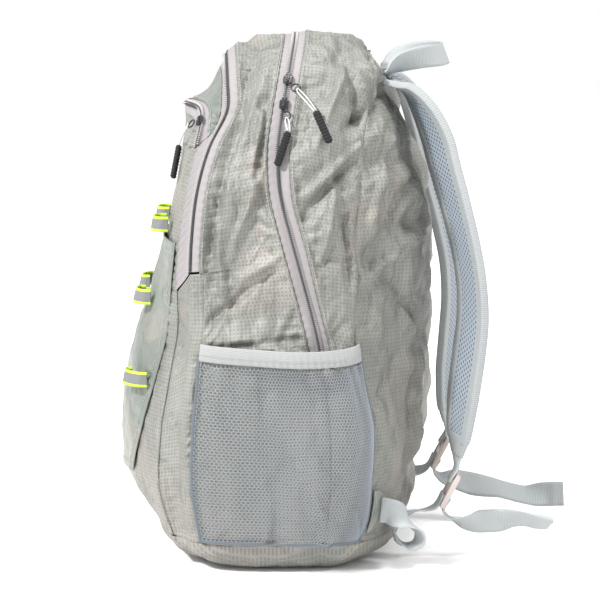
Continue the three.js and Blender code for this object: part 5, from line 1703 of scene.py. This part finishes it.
WEBBING_ROUTE = tuple(Stop(*row) for row in (
    (0.811, 0.349, 0.121, (0, 0.1, -1)),
    (0.83, 0.375, 0.119, (0, 0.3, -0.95)),
    (0.838, 0.4, 0.113, (0.3, 0.3, -0.9)),
    (0.833, 0.431, 0.102, (0.65, 0.45, -0.6)),
    (0.812, 0.457, 0.087, (0.85, 0.5, -0.15)),
    (0.783, 0.467, 0.068, (0.88, 0.45, 0.05)),
    (0.743, 0.45, 0.053, (0.9, 0.35, 0.15)),
    (0.7, 0.418, 0.05, (0.92, 0.2, 0.25)),
    (0.657, 0.396, 0.06, (0.92, 0.05, 0.35)),
    (0.623, 0.399, 0.078, (0.9, -0.15, 0.4)),
    (0.6, 0.424, 0.093, (0.9, -0.25, 0.35)),
    (0.583, 0.46, 0.101, (0.93, -0.25, 0.25)),
    (0.573, 0.5, 0.104, (0.97, -0.15, 0.1)),
))
RIGHT_TAIL_ROUTE = tuple(Stop(*row) for row in (
    (0.57, 0.57, 0.09, (1, 0, 0.1)),
    (0.56, 0.61, 0.082, (0.85, 0, 0.5)),
    (0.517, 0.67, 0.077, (0.25, 0.05, 0.95)),
    (0.48, 0.737, 0.076, (0.2, 0.1, 0.97)),
    (0.467, 0.789, 0.078, (0.6, 0.1, 0.75)),
    (0.453, 0.836, 0.074, (0.7, 0.2, 0.6)),
    (0.447, 0.862, 0.071, (0.75, 0.2, 0.6), 1, 2.6),
    (0.44, 0.905, 0.066, (0.8, 0.2, 0.5), 1, 2.6),
))
LEFT_TAIL_ROUTE = tuple(Stop(*row) for row in (
    (0.57, 0.572, 0.092, (1, 0, 0.1)),
    (0.55, 0.62, 0.088, (0.8, 0, 0.55)),
    (0.507, 0.69, 0.079, (0.55, 0.05, 0.8)),
    (0.467, 0.776, 0.072, (0.85, 0, 0.5)),
    (0.453, 0.862, 0.061, (0.8, 0.1, 0.5)),
    (0.44, 0.934, 0.063, (0.1, 0.3, 0.95)),
    (0.433, 0.96, 0.064, (0.05, 0.28, 0.96), 1, 2.6),
    (0.427, 0.993, 0.065, (0, 0.25, 0.97), 1, 2.6),
))
HANDLE_ROUTE = tuple(Stop(*row) for row in (
    (0.327, 0.36, 0.93, (1, 0, 0.1)),
    (0.323, 0.375, 0.9355, (0.9, 0, 0.4)),
    (0.313, 0.408, 0.949, (0.6, -0.1, 0.8)),
    (0.27, 0.475, 0.96, (0.25, -0.2, 0.95)),
    (0.17, 0.54, 0.963, (0, -0.35, 0.94)),
    (0, 0.562, 0.965, (0, -0.35, 0.94)),
))


def block(name: str, centre: np.ndarray, axes: np.ndarray, size: Sequence[float], power: float = 0.3,
          steps: int = 16) -> Object:
    """A rounded block: a superellipsoid, squarer with a lower power.

    Args:
        name: The object's name.
        centre: Its middle.
        axes: Its three axes, as rows.
        size: Its three sizes.
        power: The superellipsoid's power.
        steps: Points from pole to pole; there are twice as many round.

    Returns:
        The new object.
    """
    up = np.linspace(-math.pi / 2, math.pi / 2, steps)[:, None]
    turn = np.linspace(0, TURN, 2 * steps, endpoint=False)[None]
    level, rise = bend(np.cos(up), power), bend(np.sin(up), power)
    unit_points = np.stack([level * bend(np.cos(turn), power), level * bend(np.sin(turn), power),
                            rise * np.ones_like(turn)], axis=-1)[1:-1]
    local = np.concatenate([unit_points.reshape(-1, 3), [[0, 0, -1.0], [0, 0, 1.0]]]) * np.array(size) / 2
    rows, columns = unit_points.shape[:2]
    south, north = rows * columns, rows * columns + 1
    ring, after = np.arange(columns), np.roll(np.arange(columns), -1)
    last = (rows - 1) * columns
    ends = np.concatenate([np.stack([after, ring, np.full(columns, south)], axis=1),
                           np.stack([last + ring, last + after, np.full(columns, north)], axis=1)])
    return make_object(name, centre + local @ axes, [grid_faces(rows, columns, wrap=True), ends])


@dataclass(frozen=True)
class LockSizes:
    """The ladder lock's sizes in millimetres, and where it is as shares of the bag."""

    across: float = 0.573
    place: float = 0.572
    height: float = 0.145
    tilt: float = 28
    length: float = 36
    width: float = 36
    thick: float = 4.5
    bar: float = 4.5
    slot: float = 7
    edge_lead: float = 3
    power: float = 0.35

    @property
    def slot_place(self) -> float:
        """How far each slot is from the middle."""
        return self.slot / 2 + self.bar * 0.75

    @property
    def edge(self) -> float:
        """How far along it a strap or webbing turns on to it."""
        return self.length / 2 + self.edge_lead


@dataclass
class Straps(Piece):
    """One side's shoulder strap, ladder lock, lower webbing, tail and corner tab."""

    side: Side = Side.RIGHT
    lock: LockSizes = LockSizes()
    width: float = 62.0
    thick: float = 7.0
    webbing_width: float = 25.0
    webbing_thick: float = 1.6
    lay: float = 0.6
    rows: int = 240
    webbing_rows: int = 150
    core_end: float = 0.895
    bound_end: float = 0.90
    hem_span: tuple[float, ...] = (0.885, 0.935)
    foot_span: tuple[float, ...] = (0.93, 1.0)
    sewn_rows: tuple[int, ...] = (4, 212)
    sewn_inset: float = 10.5
    bound: float = 13.0
    bound_thick: float = 8.2
    gathered: float = 0.42
    flattened: float = 0.4

    def lock_stop(self, along: float, off: float, breadth: float = 1, bulk: float = 1) -> Stop:
        """A stop beside the lock: along it, and off its face towards the bag's front."""
        tilt = math.radians(self.lock.tilt)
        move_y = along * math.sin(tilt) - off * math.cos(tilt)
        move_z = along * math.cos(tilt) + off * math.sin(tilt)
        return Stop(self.lock.across, self.lock.place + move_y / self.bag.depth,
                    self.lock.height + move_z / self.bag.height, (1, 0, 0), breadth, bulk)

    def build(self) -> None:
        """Makes the side's pieces."""
        self.strap()
        self.ladder_lock()
        self.lower_webbing()
        self.tail()
        self.tab()

    def strap(self) -> None:
        """The padded strap: mesh core, wide bindings, stitches and the webbing at its foot."""
        word, lock = self.side.word, self.lock
        off = lock.thick / 2 + self.lay + self.thick * self.flattened / 2
        ends = [self.lock_stop(along, off, self.gathered, self.flattened)
                for along in (lock.edge, lock.slot_place)]
        stops = [*STRAP_ROUTE, *ends]
        shift = np.zeros(len(stops))
        if self.side is Side.LEFT:
            count = len(STRAP_ROUTE)
            bow = arc(np.arange(count) / (count - 1))
            shift[:count] = LEFT_STRAP_SHIFT * self.bag.depth * bow
        route = Route(stops, self.bag, self.side, shift)
        core = sweep(f"strap_core_{word}", route, rounded_section(self.width - 5, self.thick, 36, 0.42),
                     self.rows, span=(0, self.core_end))
        self.keep(core, self.finishes.air_mesh, "air_mesh", f"shoulder_strap_{word}")
        edges = []
        half = self.width / 2
        for edge in (-1, 1):
            section = rounded_section(self.bound, self.bound_thick, 20, 0.3)
            edges.append(sweep(f"strap_binding_{word}", route, section, self.rows,
                               shift=edge * (half - self.bound / 2), span=(0, self.bound_end)))
            edges[-1].data.materials.append(self.finishes.binding)
        foot_section = strip_section(self.webbing_width / self.gathered * 0.98, 1.7 / self.flattened, 10)
        foot = sweep(f"strap_foot_{word}", route, foot_section, self.rows, span=self.foot_span)
        foot.data.materials.append(self.finishes.webbing)
        hem_section = rounded_section(self.width + 0.5, self.bound_thick, 32, 0.42)
        hem = sweep(f"strap_hem_{word}", route, hem_section, self.rows, span=self.hem_span)
        hem.data.materials.append(self.finishes.binding)
        self.keep(joined(f"strap_bindings_{word}", [*edges, foot, hem]), self.finishes.binding, "webbing")
        points, face, through, breadth, bulk = route.sample(self.rows)
        lines = []
        for face_sign in (-1, 1):
            for edge in (-1, 1):
                line = points + face * (edge * (half - self.sewn_inset) * breadth)[:, None]
                line = line + through * (face_sign * self.bound_thick / 2 * bulk)[:, None]
                rows = slice(*self.sewn_rows)
                lines.append((line[rows], (through * face_sign)[rows]))
        self.keep(stitches(f"strap_stitches_{word}", lines, 3.4, 2.4, 0.6), self.finishes.thread, "webbing")

    def ladder_lock(self) -> None:
        """The ladder lock: two side bars and three cross bars."""
        word, lock = self.side.word, self.lock
        centre = np.array([lock.across * self.side.value, lock.place, lock.height]) * self.bag.scale
        tilt = math.radians(lock.tilt)
        along = np.array([0, math.sin(tilt), math.cos(tilt)])
        out = np.array([0, math.cos(tilt), -math.sin(tilt)])
        axes = np.stack([np.cross(along, out), along, out])
        across = axes[0]
        inner = lock.slot_place + lock.slot / 2
        rail = lock.length / 2 - inner
        to_side, to_end = across * (lock.width - lock.bar) / 2, along * (inner + rail / 2)
        side_size = (lock.bar, lock.length, lock.thick + 0.6)
        end_size = (lock.width - 2, rail, lock.thick)
        middle_size = (lock.width - 3, 2 * (lock.slot_place - lock.slot / 2), lock.thick - 0.8)
        bars = [block(f"lock_bar_{word}", centre + move, axes, size, lock.power) for move, size in (
            (-to_side, side_size), (to_side, side_size), (-to_end, end_size), (to_end, end_size),
            (0 * along, middle_size))]
        self.keep(joined(f"lock_{word}", bars), self.finishes.plastic, "lock_plastic", f"ladder_lock_{word}")

    def strip(self, name: str, stops: Sequence[Stop], node: str) -> Object:
        """A strip of webbing along stops."""
        route = Route(stops, self.bag, self.side)
        obj = sweep(name, route, strip_section(self.webbing_width, self.webbing_thick, 8),
                    self.webbing_rows)
        return self.keep(obj, self.finishes.webbing, "webbing", node)

    def lower_webbing(self) -> None:
        """The twisted webbing from the corner tab up to the lock."""
        word, lock = self.side.word, self.lock
        off = lock.thick / 2 + self.lay + self.webbing_thick / 2
        ends = [self.lock_stop(along, off) for along in (-lock.edge, -lock.slot_place)]
        self.strip(f"webbing_{word}", [*WEBBING_ROUTE, *ends], f"lower_webbing_{word}")

    def tail(self) -> None:
        """The loose tail of the webbing, with its folded end."""
        word, lock = self.side.word, self.lock
        off = -(lock.thick / 2 + self.lay + self.webbing_thick / 2) - 0.3
        starts = [self.lock_stop(along, off) for along in (-lock.slot_place, -lock.edge)]
        rows = RIGHT_TAIL_ROUTE if self.side is Side.RIGHT else LEFT_TAIL_ROUTE
        self.strip(f"tail_{word}", [*starts, *rows], f"strap_tail_{word}")

    def tab(self) -> None:
        """The triangular cloth tab that holds the webbing at the back corner."""
        word, shape = self.side.word, self.shape
        low, high = (shape.back_seam.share_at(z) for z in (40, 82))
        share, inward = np.meshgrid(np.linspace(0, 1, 60), np.linspace(0, 1, 24), indexing="ij")
        width = mix(0.03, 0.19, 1 - np.abs(2 * share - 1))
        point, out = shape.back(0.975 - inward * width, mix(low, high, share))
        push = 2.2 + 0.5 * np.sin(inward * math.pi) - 0.6 * fade(share - 0.5, 0.05)
        push = push + 0.3 * noise(point, 9, 61)
        point, out = on_side(self.side, (point + out * push[..., None], out))
        self.keep(shell(f"tab_{word}", (point, out), 1.4), self.finishes.light_cloth, "light_cloth",
                  f"corner_tab_{word}")
        lines = [(point[:, k] + out[:, k] * 0.2, out[:, k]) for k in (3, 21)]
        self.keep(stitches(f"tab_stitches_{word}", lines, 3.0, 2.1, 0.5), self.finishes.thread, "light_cloth")


@dataclass
class Handle(Piece):
    """The webbing grab handle on top of the back."""

    width: float = 22.0
    thick: float = 1.6

    def build(self) -> None:
        """Makes the handle."""
        far = [Stop(-s.across, s.place, s.height, (-s.face[0], s.face[1], s.face[2])) for s in HANDLE_ROUTE]
        route = Route([*HANDLE_ROUTE, *far[::-1][1:]], self.bag)
        obj = sweep("handle_webbing", route, strip_section(self.width, self.thick, 8), 200)
        self.keep(obj, self.finishes.webbing, "webbing", "grab_handle")


@dataclass
class LashLoops(Piece):
    """The reflective loops on both sides of the patch pocket."""

    # Each row's height and place across as shares, how far it bows out and how far off it stands.
    rows: tuple[tuple[float, ...], ...] = (
        (0.645, 0.50, 14, 1.6), (0.508, 0.56, 12, 2.2), (0.357, 0.78, 12, 0.85))
    bow: tuple[tuple[float, ...], ...] = ((0, 0), (0.05, 0.6), (0.28, 1), (0.72, 1), (0.95, 0.6), (1, 0))
    width: float = 15.0
    thick: float = 1.0
    between: float = 30.0
    reach: float = 0.9

    def spot(self, across: float, height: float, stand: float, patch: PatchPocket) -> np.ndarray:
        """A point of the front, clear of the patch pocket where that is."""
        bag, seam = self.bag, self.shape.front_seam
        up = (height - bag.patch_bottom) / (bag.patch_top - bag.patch_bottom)
        point, out = self.shape.front(np.array([across]), np.array([seam.share_at(height)]))
        on_patch = patch.lift(np.abs(across) / self.reach, up) if up < 1 else 0.0
        return (point + out * (on_patch + stand))[0]

    def build(self) -> None:
        """Makes six loops, each a short strip that bows out."""
        patch, bow = PatchPocket(self.shape, self.finishes), np.array(self.bow)
        for side in Side:
            for number, (height, across, reach, stand) in enumerate(self.rows, 1):
                middle = height * self.bag.height
                seam = self.shape.front_seam
                legs = float(seam.at(np.array([seam.share_at(middle)]))[0][0, 0])
                low, high = (np.array([
                    self.spot(side.value * a, middle + half * self.width / 2, stand, patch)
                    for a in (across, across - self.between / legs)]) for half in (-1, 1))
                lows, highs = (mix(e[0], e[1], bow[:, :1]) for e in (low, high))
                place = (lows + highs) / 2
                place[:, 1] -= bow[:, 1] * reach
                shares = place / self.bag.scale
                stops = [Stop(*s, tuple(unit(h - l))) for s, h, l in zip(shares, highs, lows)]
                route = Route(stops, self.bag)
                name = f"{side.word}_{number}"
                obj = sweep(f"loop_{name}", route, strip_section(self.width, self.thick, 8), 60)
                self.keep(obj, self.finishes.lash, "lash_tape", f"lash_loop_{name}")


@dataclass(frozen=True)
class Pull:
    """A zip pull: the slider's height, and the place and height where the cord and grip end, as shares."""

    name: str
    side: Side
    zip: str
    slider: float
    cord: tuple[float, float]
    grip: tuple[float, float]
    lift: float = 5
    rise: float = 1.4


@dataclass
class Pulls(Piece):
    """Sliders, wire rings, cord loops and moulded grips."""

    rows: tuple[Pull, ...] = (
        Pull("main_upper", Side.RIGHT, "main", 0.922, (0.127, 0.869), (0.165, 0.807)),
        Pull("main_lower", Side.RIGHT, "main", 0.880, (0.055, 0.832), (0.024, 0.775), lift=7.5),
        Pull("middle", Side.LEFT, "middle", 0.590, (-0.240, 0.540), (-0.240, 0.474), rise=3),
        Pull("front", Side.RIGHT, "front", 0.845, (-0.276, 0.797), (-0.296, 0.738), rise=0.1),
    )
    slider: tuple[float, ...] = (9.0, 13.0, 3.2)
    # The slider's body, nose and bridge: how far ahead, how high, its sizes as shares, and its power.
    slider_blocks: tuple[tuple, ...] = (
        (-1.2, -0.22, (1, 0.72, 0.55), 0.4), (3.4, -0.22, (0.6, 0.45, 0.5), 0.5),
        (0, 0.2, (0.3, 0.66, 0.6), 0.5))
    ring_radius: float = 4.2
    ring_wire: float = 0.8
    cord: float = 1.5
    grip: tuple[float, ...] = (7.0, 34.0, 5.0)
    grip_sides: int = 20
    grip_rows: int = 90
    grip_ribs: int = 11
    rib_depth: float = 0.09
    grip_cap: float = 0.07
    chain_top: float = 2.3
    gap: float = 0.3

    def on_side(self, place: float, height: float) -> Cells:
        """The side's surface at a place and height, found by moving up or down its arches."""
        shape = self.shape
        t = np.array([shape.main_zip.share_at(height)])
        cell = shape.front_body(np.array([0.5]), t)
        for _ in range(5):
            seam, front, main, back = (a.at(t)[0][0, 1] for a in (
                shape.front_seam, shape.middle_zip, shape.main_zip, shape.back_seam))
            if place < front:
                cell = shape.slack(clamp([(place - seam) / (front - seam)]), t)
            elif place < main:
                cell = shape.front_body(np.array([(place - front) / (main - front)]), t)
            else:
                cell = shape.back_body(np.array([(place - main) / (back - main)]), t)
            t = clamp(t + (height - cell[0][:, 2]) / (self.bag.height + self.bag.half_width))
        return cell[0][0], cell[1][0]

    def on_front(self, place: float, height: float) -> Cells:
        """The front panel's surface at a place and height."""
        t = np.array([self.shape.front_seam.share_at(height)])
        middle = side_view("front", np.array([height]), self.bag)
        seam = self.shape.front_seam.at(t)[0][:, 1]
        spread = clamp((place - middle) / (seam - middle)) ** (1 / 2.2)
        point, out = self.shape.front(spread, t)
        return point[0], out[0]

    def build(self) -> None:
        """Makes every pull."""
        for pull in self.rows:
            self.build_pull(pull)

    def build_pull(self, pull: Pull) -> None:
        """One pull."""
        shape, bag = self.shape, self.bag
        arch, beside, surface = {
            "main": (shape.main_zip, shape.beside_main, self.on_side),
            "middle": (shape.middle_zip, shape.beside_middle, self.on_side),
            "front": (shape.front_seam, shape.beside_front, self.on_front)}[pull.zip]
        t = arch.share_at(pull.slider * bag.height)
        zero = np.zeros(1)
        (seat, out), (ahead, _) = (tuple(a[0] for a in beside(zero, np.array([v]))) for v in (t, t + 0.01))
        along = unit(ahead - seat)
        out = unit(out - along * (out @ along))
        across = np.cross(along, out)
        centre = seat + out * (self.chain_top + pull.rise + self.slider[2] / 2)
        ends = []
        for place, height in (pull.cord, pull.grip):
            point, normal = surface(place * bag.depth, height * bag.height)
            ends.append(point + normal * pull.lift)
        cord_end, grip_end = ends
        lead = cord_end - centre
        lead = unit(lead - out * (lead @ out))
        ring_out = self.ring_radius + self.ring_wire
        edge = abs(lead @ along) * self.slider[1] / 2 + abs(lead @ across) * self.slider[0] / 2
        ring_centre = centre + lead * (edge + self.gap + ring_out)
        axes = np.stack([across, along, out])
        parts = {
            "slider": self.slider_body(centre, axes, pull.name),
            "pull_ring": self.ring(ring_centre, lead, np.cross(lead, out), pull.name),
            "pull_cord": self.cord_loop(ring_centre, cord_end, lead, out, pull.name),
            "pull_grip": self.grip_body(cord_end, grip_end, out, pull.name),
        }
        metal = (self.finishes.metal, "slider_metal")
        looks = {"slider": metal, "pull_ring": metal, "pull_cord": (self.finishes.cord, "pull_cord"),
                 "pull_grip": (self.finishes.rubber, "grip_rubber")}
        for part, obj in parts.items():
            if pull.side is Side.LEFT:
                obj.data.vertices.foreach_set("co", (self.coordinates(obj) * np.array([-1, 1, 1])).ravel())
                obj.data.flip_normals()
            material, slot = looks[part]
            self.keep(obj, material, slot, f"{pull.name}_{part}")

    @staticmethod
    def coordinates(obj: Object) -> np.ndarray:
        """An object's vertices."""
        values = np.empty(len(obj.data.vertices) * 3, dtype=np.float32)
        obj.data.vertices.foreach_get("co", values)
        return values.reshape(-1, 3)

    def slider_body(self, centre: np.ndarray, axes: np.ndarray, name: str) -> Object:
        """A slider: a low rounded body, a narrower nose and a bridge on top."""
        wide, long, thick = self.slider
        whole = np.array([wide, long, thick])
        parts = [block(f"{name}_block", centre + axes[1] * ahead + axes[2] * thick * up, axes, whole * size,
                       power) for ahead, up, size, power in self.slider_blocks]
        return joined(f"{name}_slider_body", parts)

    def ring(self, centre: np.ndarray, lead: np.ndarray, across: np.ndarray, name: str) -> Object:
        """A wire ring lying flat."""
        turn = np.linspace(0, TURN, 40, endpoint=False)[:, None]
        wire = np.linspace(0, TURN, 10, endpoint=False)[None]
        radius = self.ring_radius + self.ring_wire * np.cos(wire)
        height = self.ring_wire * np.sin(wire) * np.ones_like(turn)
        parts = ((radius * np.cos(turn), across), (radius * np.sin(turn), lead),
                 (height, np.cross(across, lead)))
        rings = centre + sum(amount[..., None] * axis for amount, axis in parts)
        rows, columns = rings.shape[:2]
        i, j = np.meshgrid(np.arange(rows), np.arange(columns), indexing="ij")
        ni, nj = (i + 1) % rows, (j + 1) % columns
        quads = np.stack([i * columns + j, ni * columns + j, ni * columns + nj, i * columns + nj], axis=-1)
        return make_object(f"{name}_wire", rings, [quads.reshape(-1, 4)])

    def cord_loop(self, ring: np.ndarray, end: np.ndarray, lead: np.ndarray, out: np.ndarray,
                  name: str) -> Object:
        """A thin cord that goes from the grip up round the ring's wire and back."""
        side = unit(np.cross(lead, out))
        start = ring + lead * (self.ring_radius + 0.2)
        middle = mix(start, end, 0.5) + out * 1.2
        spread = 1.7
        points = [end + side * 0.9, middle + side * spread, start + side * 1.3 + out * 0.5,
                  start - lead * 1.6 + out * 1.9, start - side * 1.3 + out * 0.5, middle - side * spread,
                  end - side * 0.9]
        stops = [Stop(*(p / self.bag.scale), tuple(unit(lead + out * 0.7))) for p in points]
        route = Route(stops, self.bag)
        return sweep(f"{name}_cord", route, tube_section(self.cord), 80)

    def grip_body(self, start: np.ndarray, end: np.ndarray, out: np.ndarray, name: str) -> Object:
        """A moulded grip with ribs across it and rounded ends."""
        wide, long, thick = self.grip
        down = unit(end - start)
        across = unit(np.cross(down, out))
        normal = np.cross(across, down)
        s = np.linspace(0, 1, self.grip_rows)[:, None]
        cap = clamp(np.minimum(s, 1 - s) / self.grip_cap)
        ribs = 1 + self.rib_depth * np.sin(TURN * s * self.grip_ribs) * cap
        scale = np.sqrt(np.maximum(0.02, 1 - (1 - cap) ** 2)) * ribs
        section = rounded_section(wide, thick, self.grip_sides, 0.6)
        rings = (start + down * (s * long + 0.8)[..., None]
                 + across * (section[None, :, 0] * scale)[..., None]
                 + normal * (section[None, :, 1] * scale)[..., None])
        return tube(f"{name}_grip", rings, turned=True)


# The studio


@dataclass(frozen=True)
class Shot:
    """The photo's camera: turned 9 degrees down on the bag's right side, lengths in metres."""

    elevation: float = 9
    distance: float = 2.480
    target: tuple[float, float, float] = (0, 0.028, 0.247)
    lens: float = 148.8
    sensor: float = 36

    def build(self) -> None:
        """Makes the camera."""
        up = math.radians(self.elevation)
        back = Vector((math.cos(up), 0, math.sin(up)))
        data = bpy.data.cameras.new("photo_camera")
        data.lens, data.sensor_width, data.clip_end = self.lens, self.sensor, 50
        data.dof.use_dof = False
        obj = bpy.data.objects.new("photo_camera", data)
        obj.location = Vector(self.target) + back * self.distance
        obj.rotation_euler = (-back).to_track_quat("-Z", "Y").to_euler()
        bpy.context.scene.collection.objects.link(obj)
        bpy.context.scene.camera = obj


@dataclass(frozen=True)
class Lamp:
    """A soft square light, lengths in metres."""

    name: str
    place: tuple[float, float, float]
    size: float
    power: float

    def build(self, target: Vector) -> None:
        """Makes the light and aims it."""
        data = bpy.data.lights.new(self.name, "AREA")
        data.size, data.energy = self.size, self.power
        obj = bpy.data.objects.new(self.name, data)
        obj.location = self.place
        obj.rotation_euler = (target - obj.location).to_track_quat("-Z", "Y").to_euler()
        bpy.context.scene.collection.objects.link(obj)


@dataclass(frozen=True)
class Studio:
    """The floor, the pale surroundings and the lights."""

    lamps: tuple[Lamp, ...] = (
        Lamp("key", (1.7, -2.1, 2.5), 0.4, 190),
        Lamp("top", (0.3, 0.2, 2.9), 0.6, 50),
        Lamp("rim", (0.9, 2.3, 1.7), 0.35, 34),
    )
    floor_half: float = 6000.0
    surround: tuple[float, ...] = (1.0, 1.0, 1.0)
    surround_power: float = 1.0

    def build(self) -> None:
        """Makes them all."""
        corners = np.array([[-1, -1, 0], [1, -1, 0], [1, 1, 0], [-1, 1, 0]], float) * self.floor_half
        floor = make_object("studio_floor", corners, [np.array([[0, 1, 2, 3]])], smooth=False)
        floor.data.materials.append(PlainFinish("floor_paint", (0.92, 0.92, 0.92), 0.95).build())
        world = bpy.data.worlds.new("pale_studio")
        world.use_nodes = True
        sky = world.node_tree.nodes["Background"]
        sky.inputs["Color"].default_value = (*self.surround, 1)
        sky.inputs["Strength"].default_value = self.surround_power
        bpy.context.scene.world = world
        bpy.context.scene.view_settings.view_transform = "Standard"
        for lamp in self.lamps:
            lamp.build(Vector((0, 0, 0.25)))


def write_sizes() -> None:
    """Updates the view layer."""
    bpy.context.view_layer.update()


def main() -> None:
    """Builds the bag and its studio."""
    logging.basicConfig(level=logging.INFO, format="%(name)s: %(message)s")
    Shot().build()
    Studio().build()
    shape, finishes = BagShape(BagSizes()), Finishes()
    groups: list[Piece] = [
        Cloth(shape, finishes), Zips(shape, finishes), PatchPocket(shape, finishes),
        *(SidePocket(shape, finishes, side) for side in Side),
        *(Straps(shape, finishes, side) for side in Side),
        Handle(shape, finishes), LashLoops(shape, finishes), Pulls(shape, finishes),
    ]
    for group in groups:
        group.build()
        group.report()
    write_sizes()


if __name__ == "__main__":
    main()
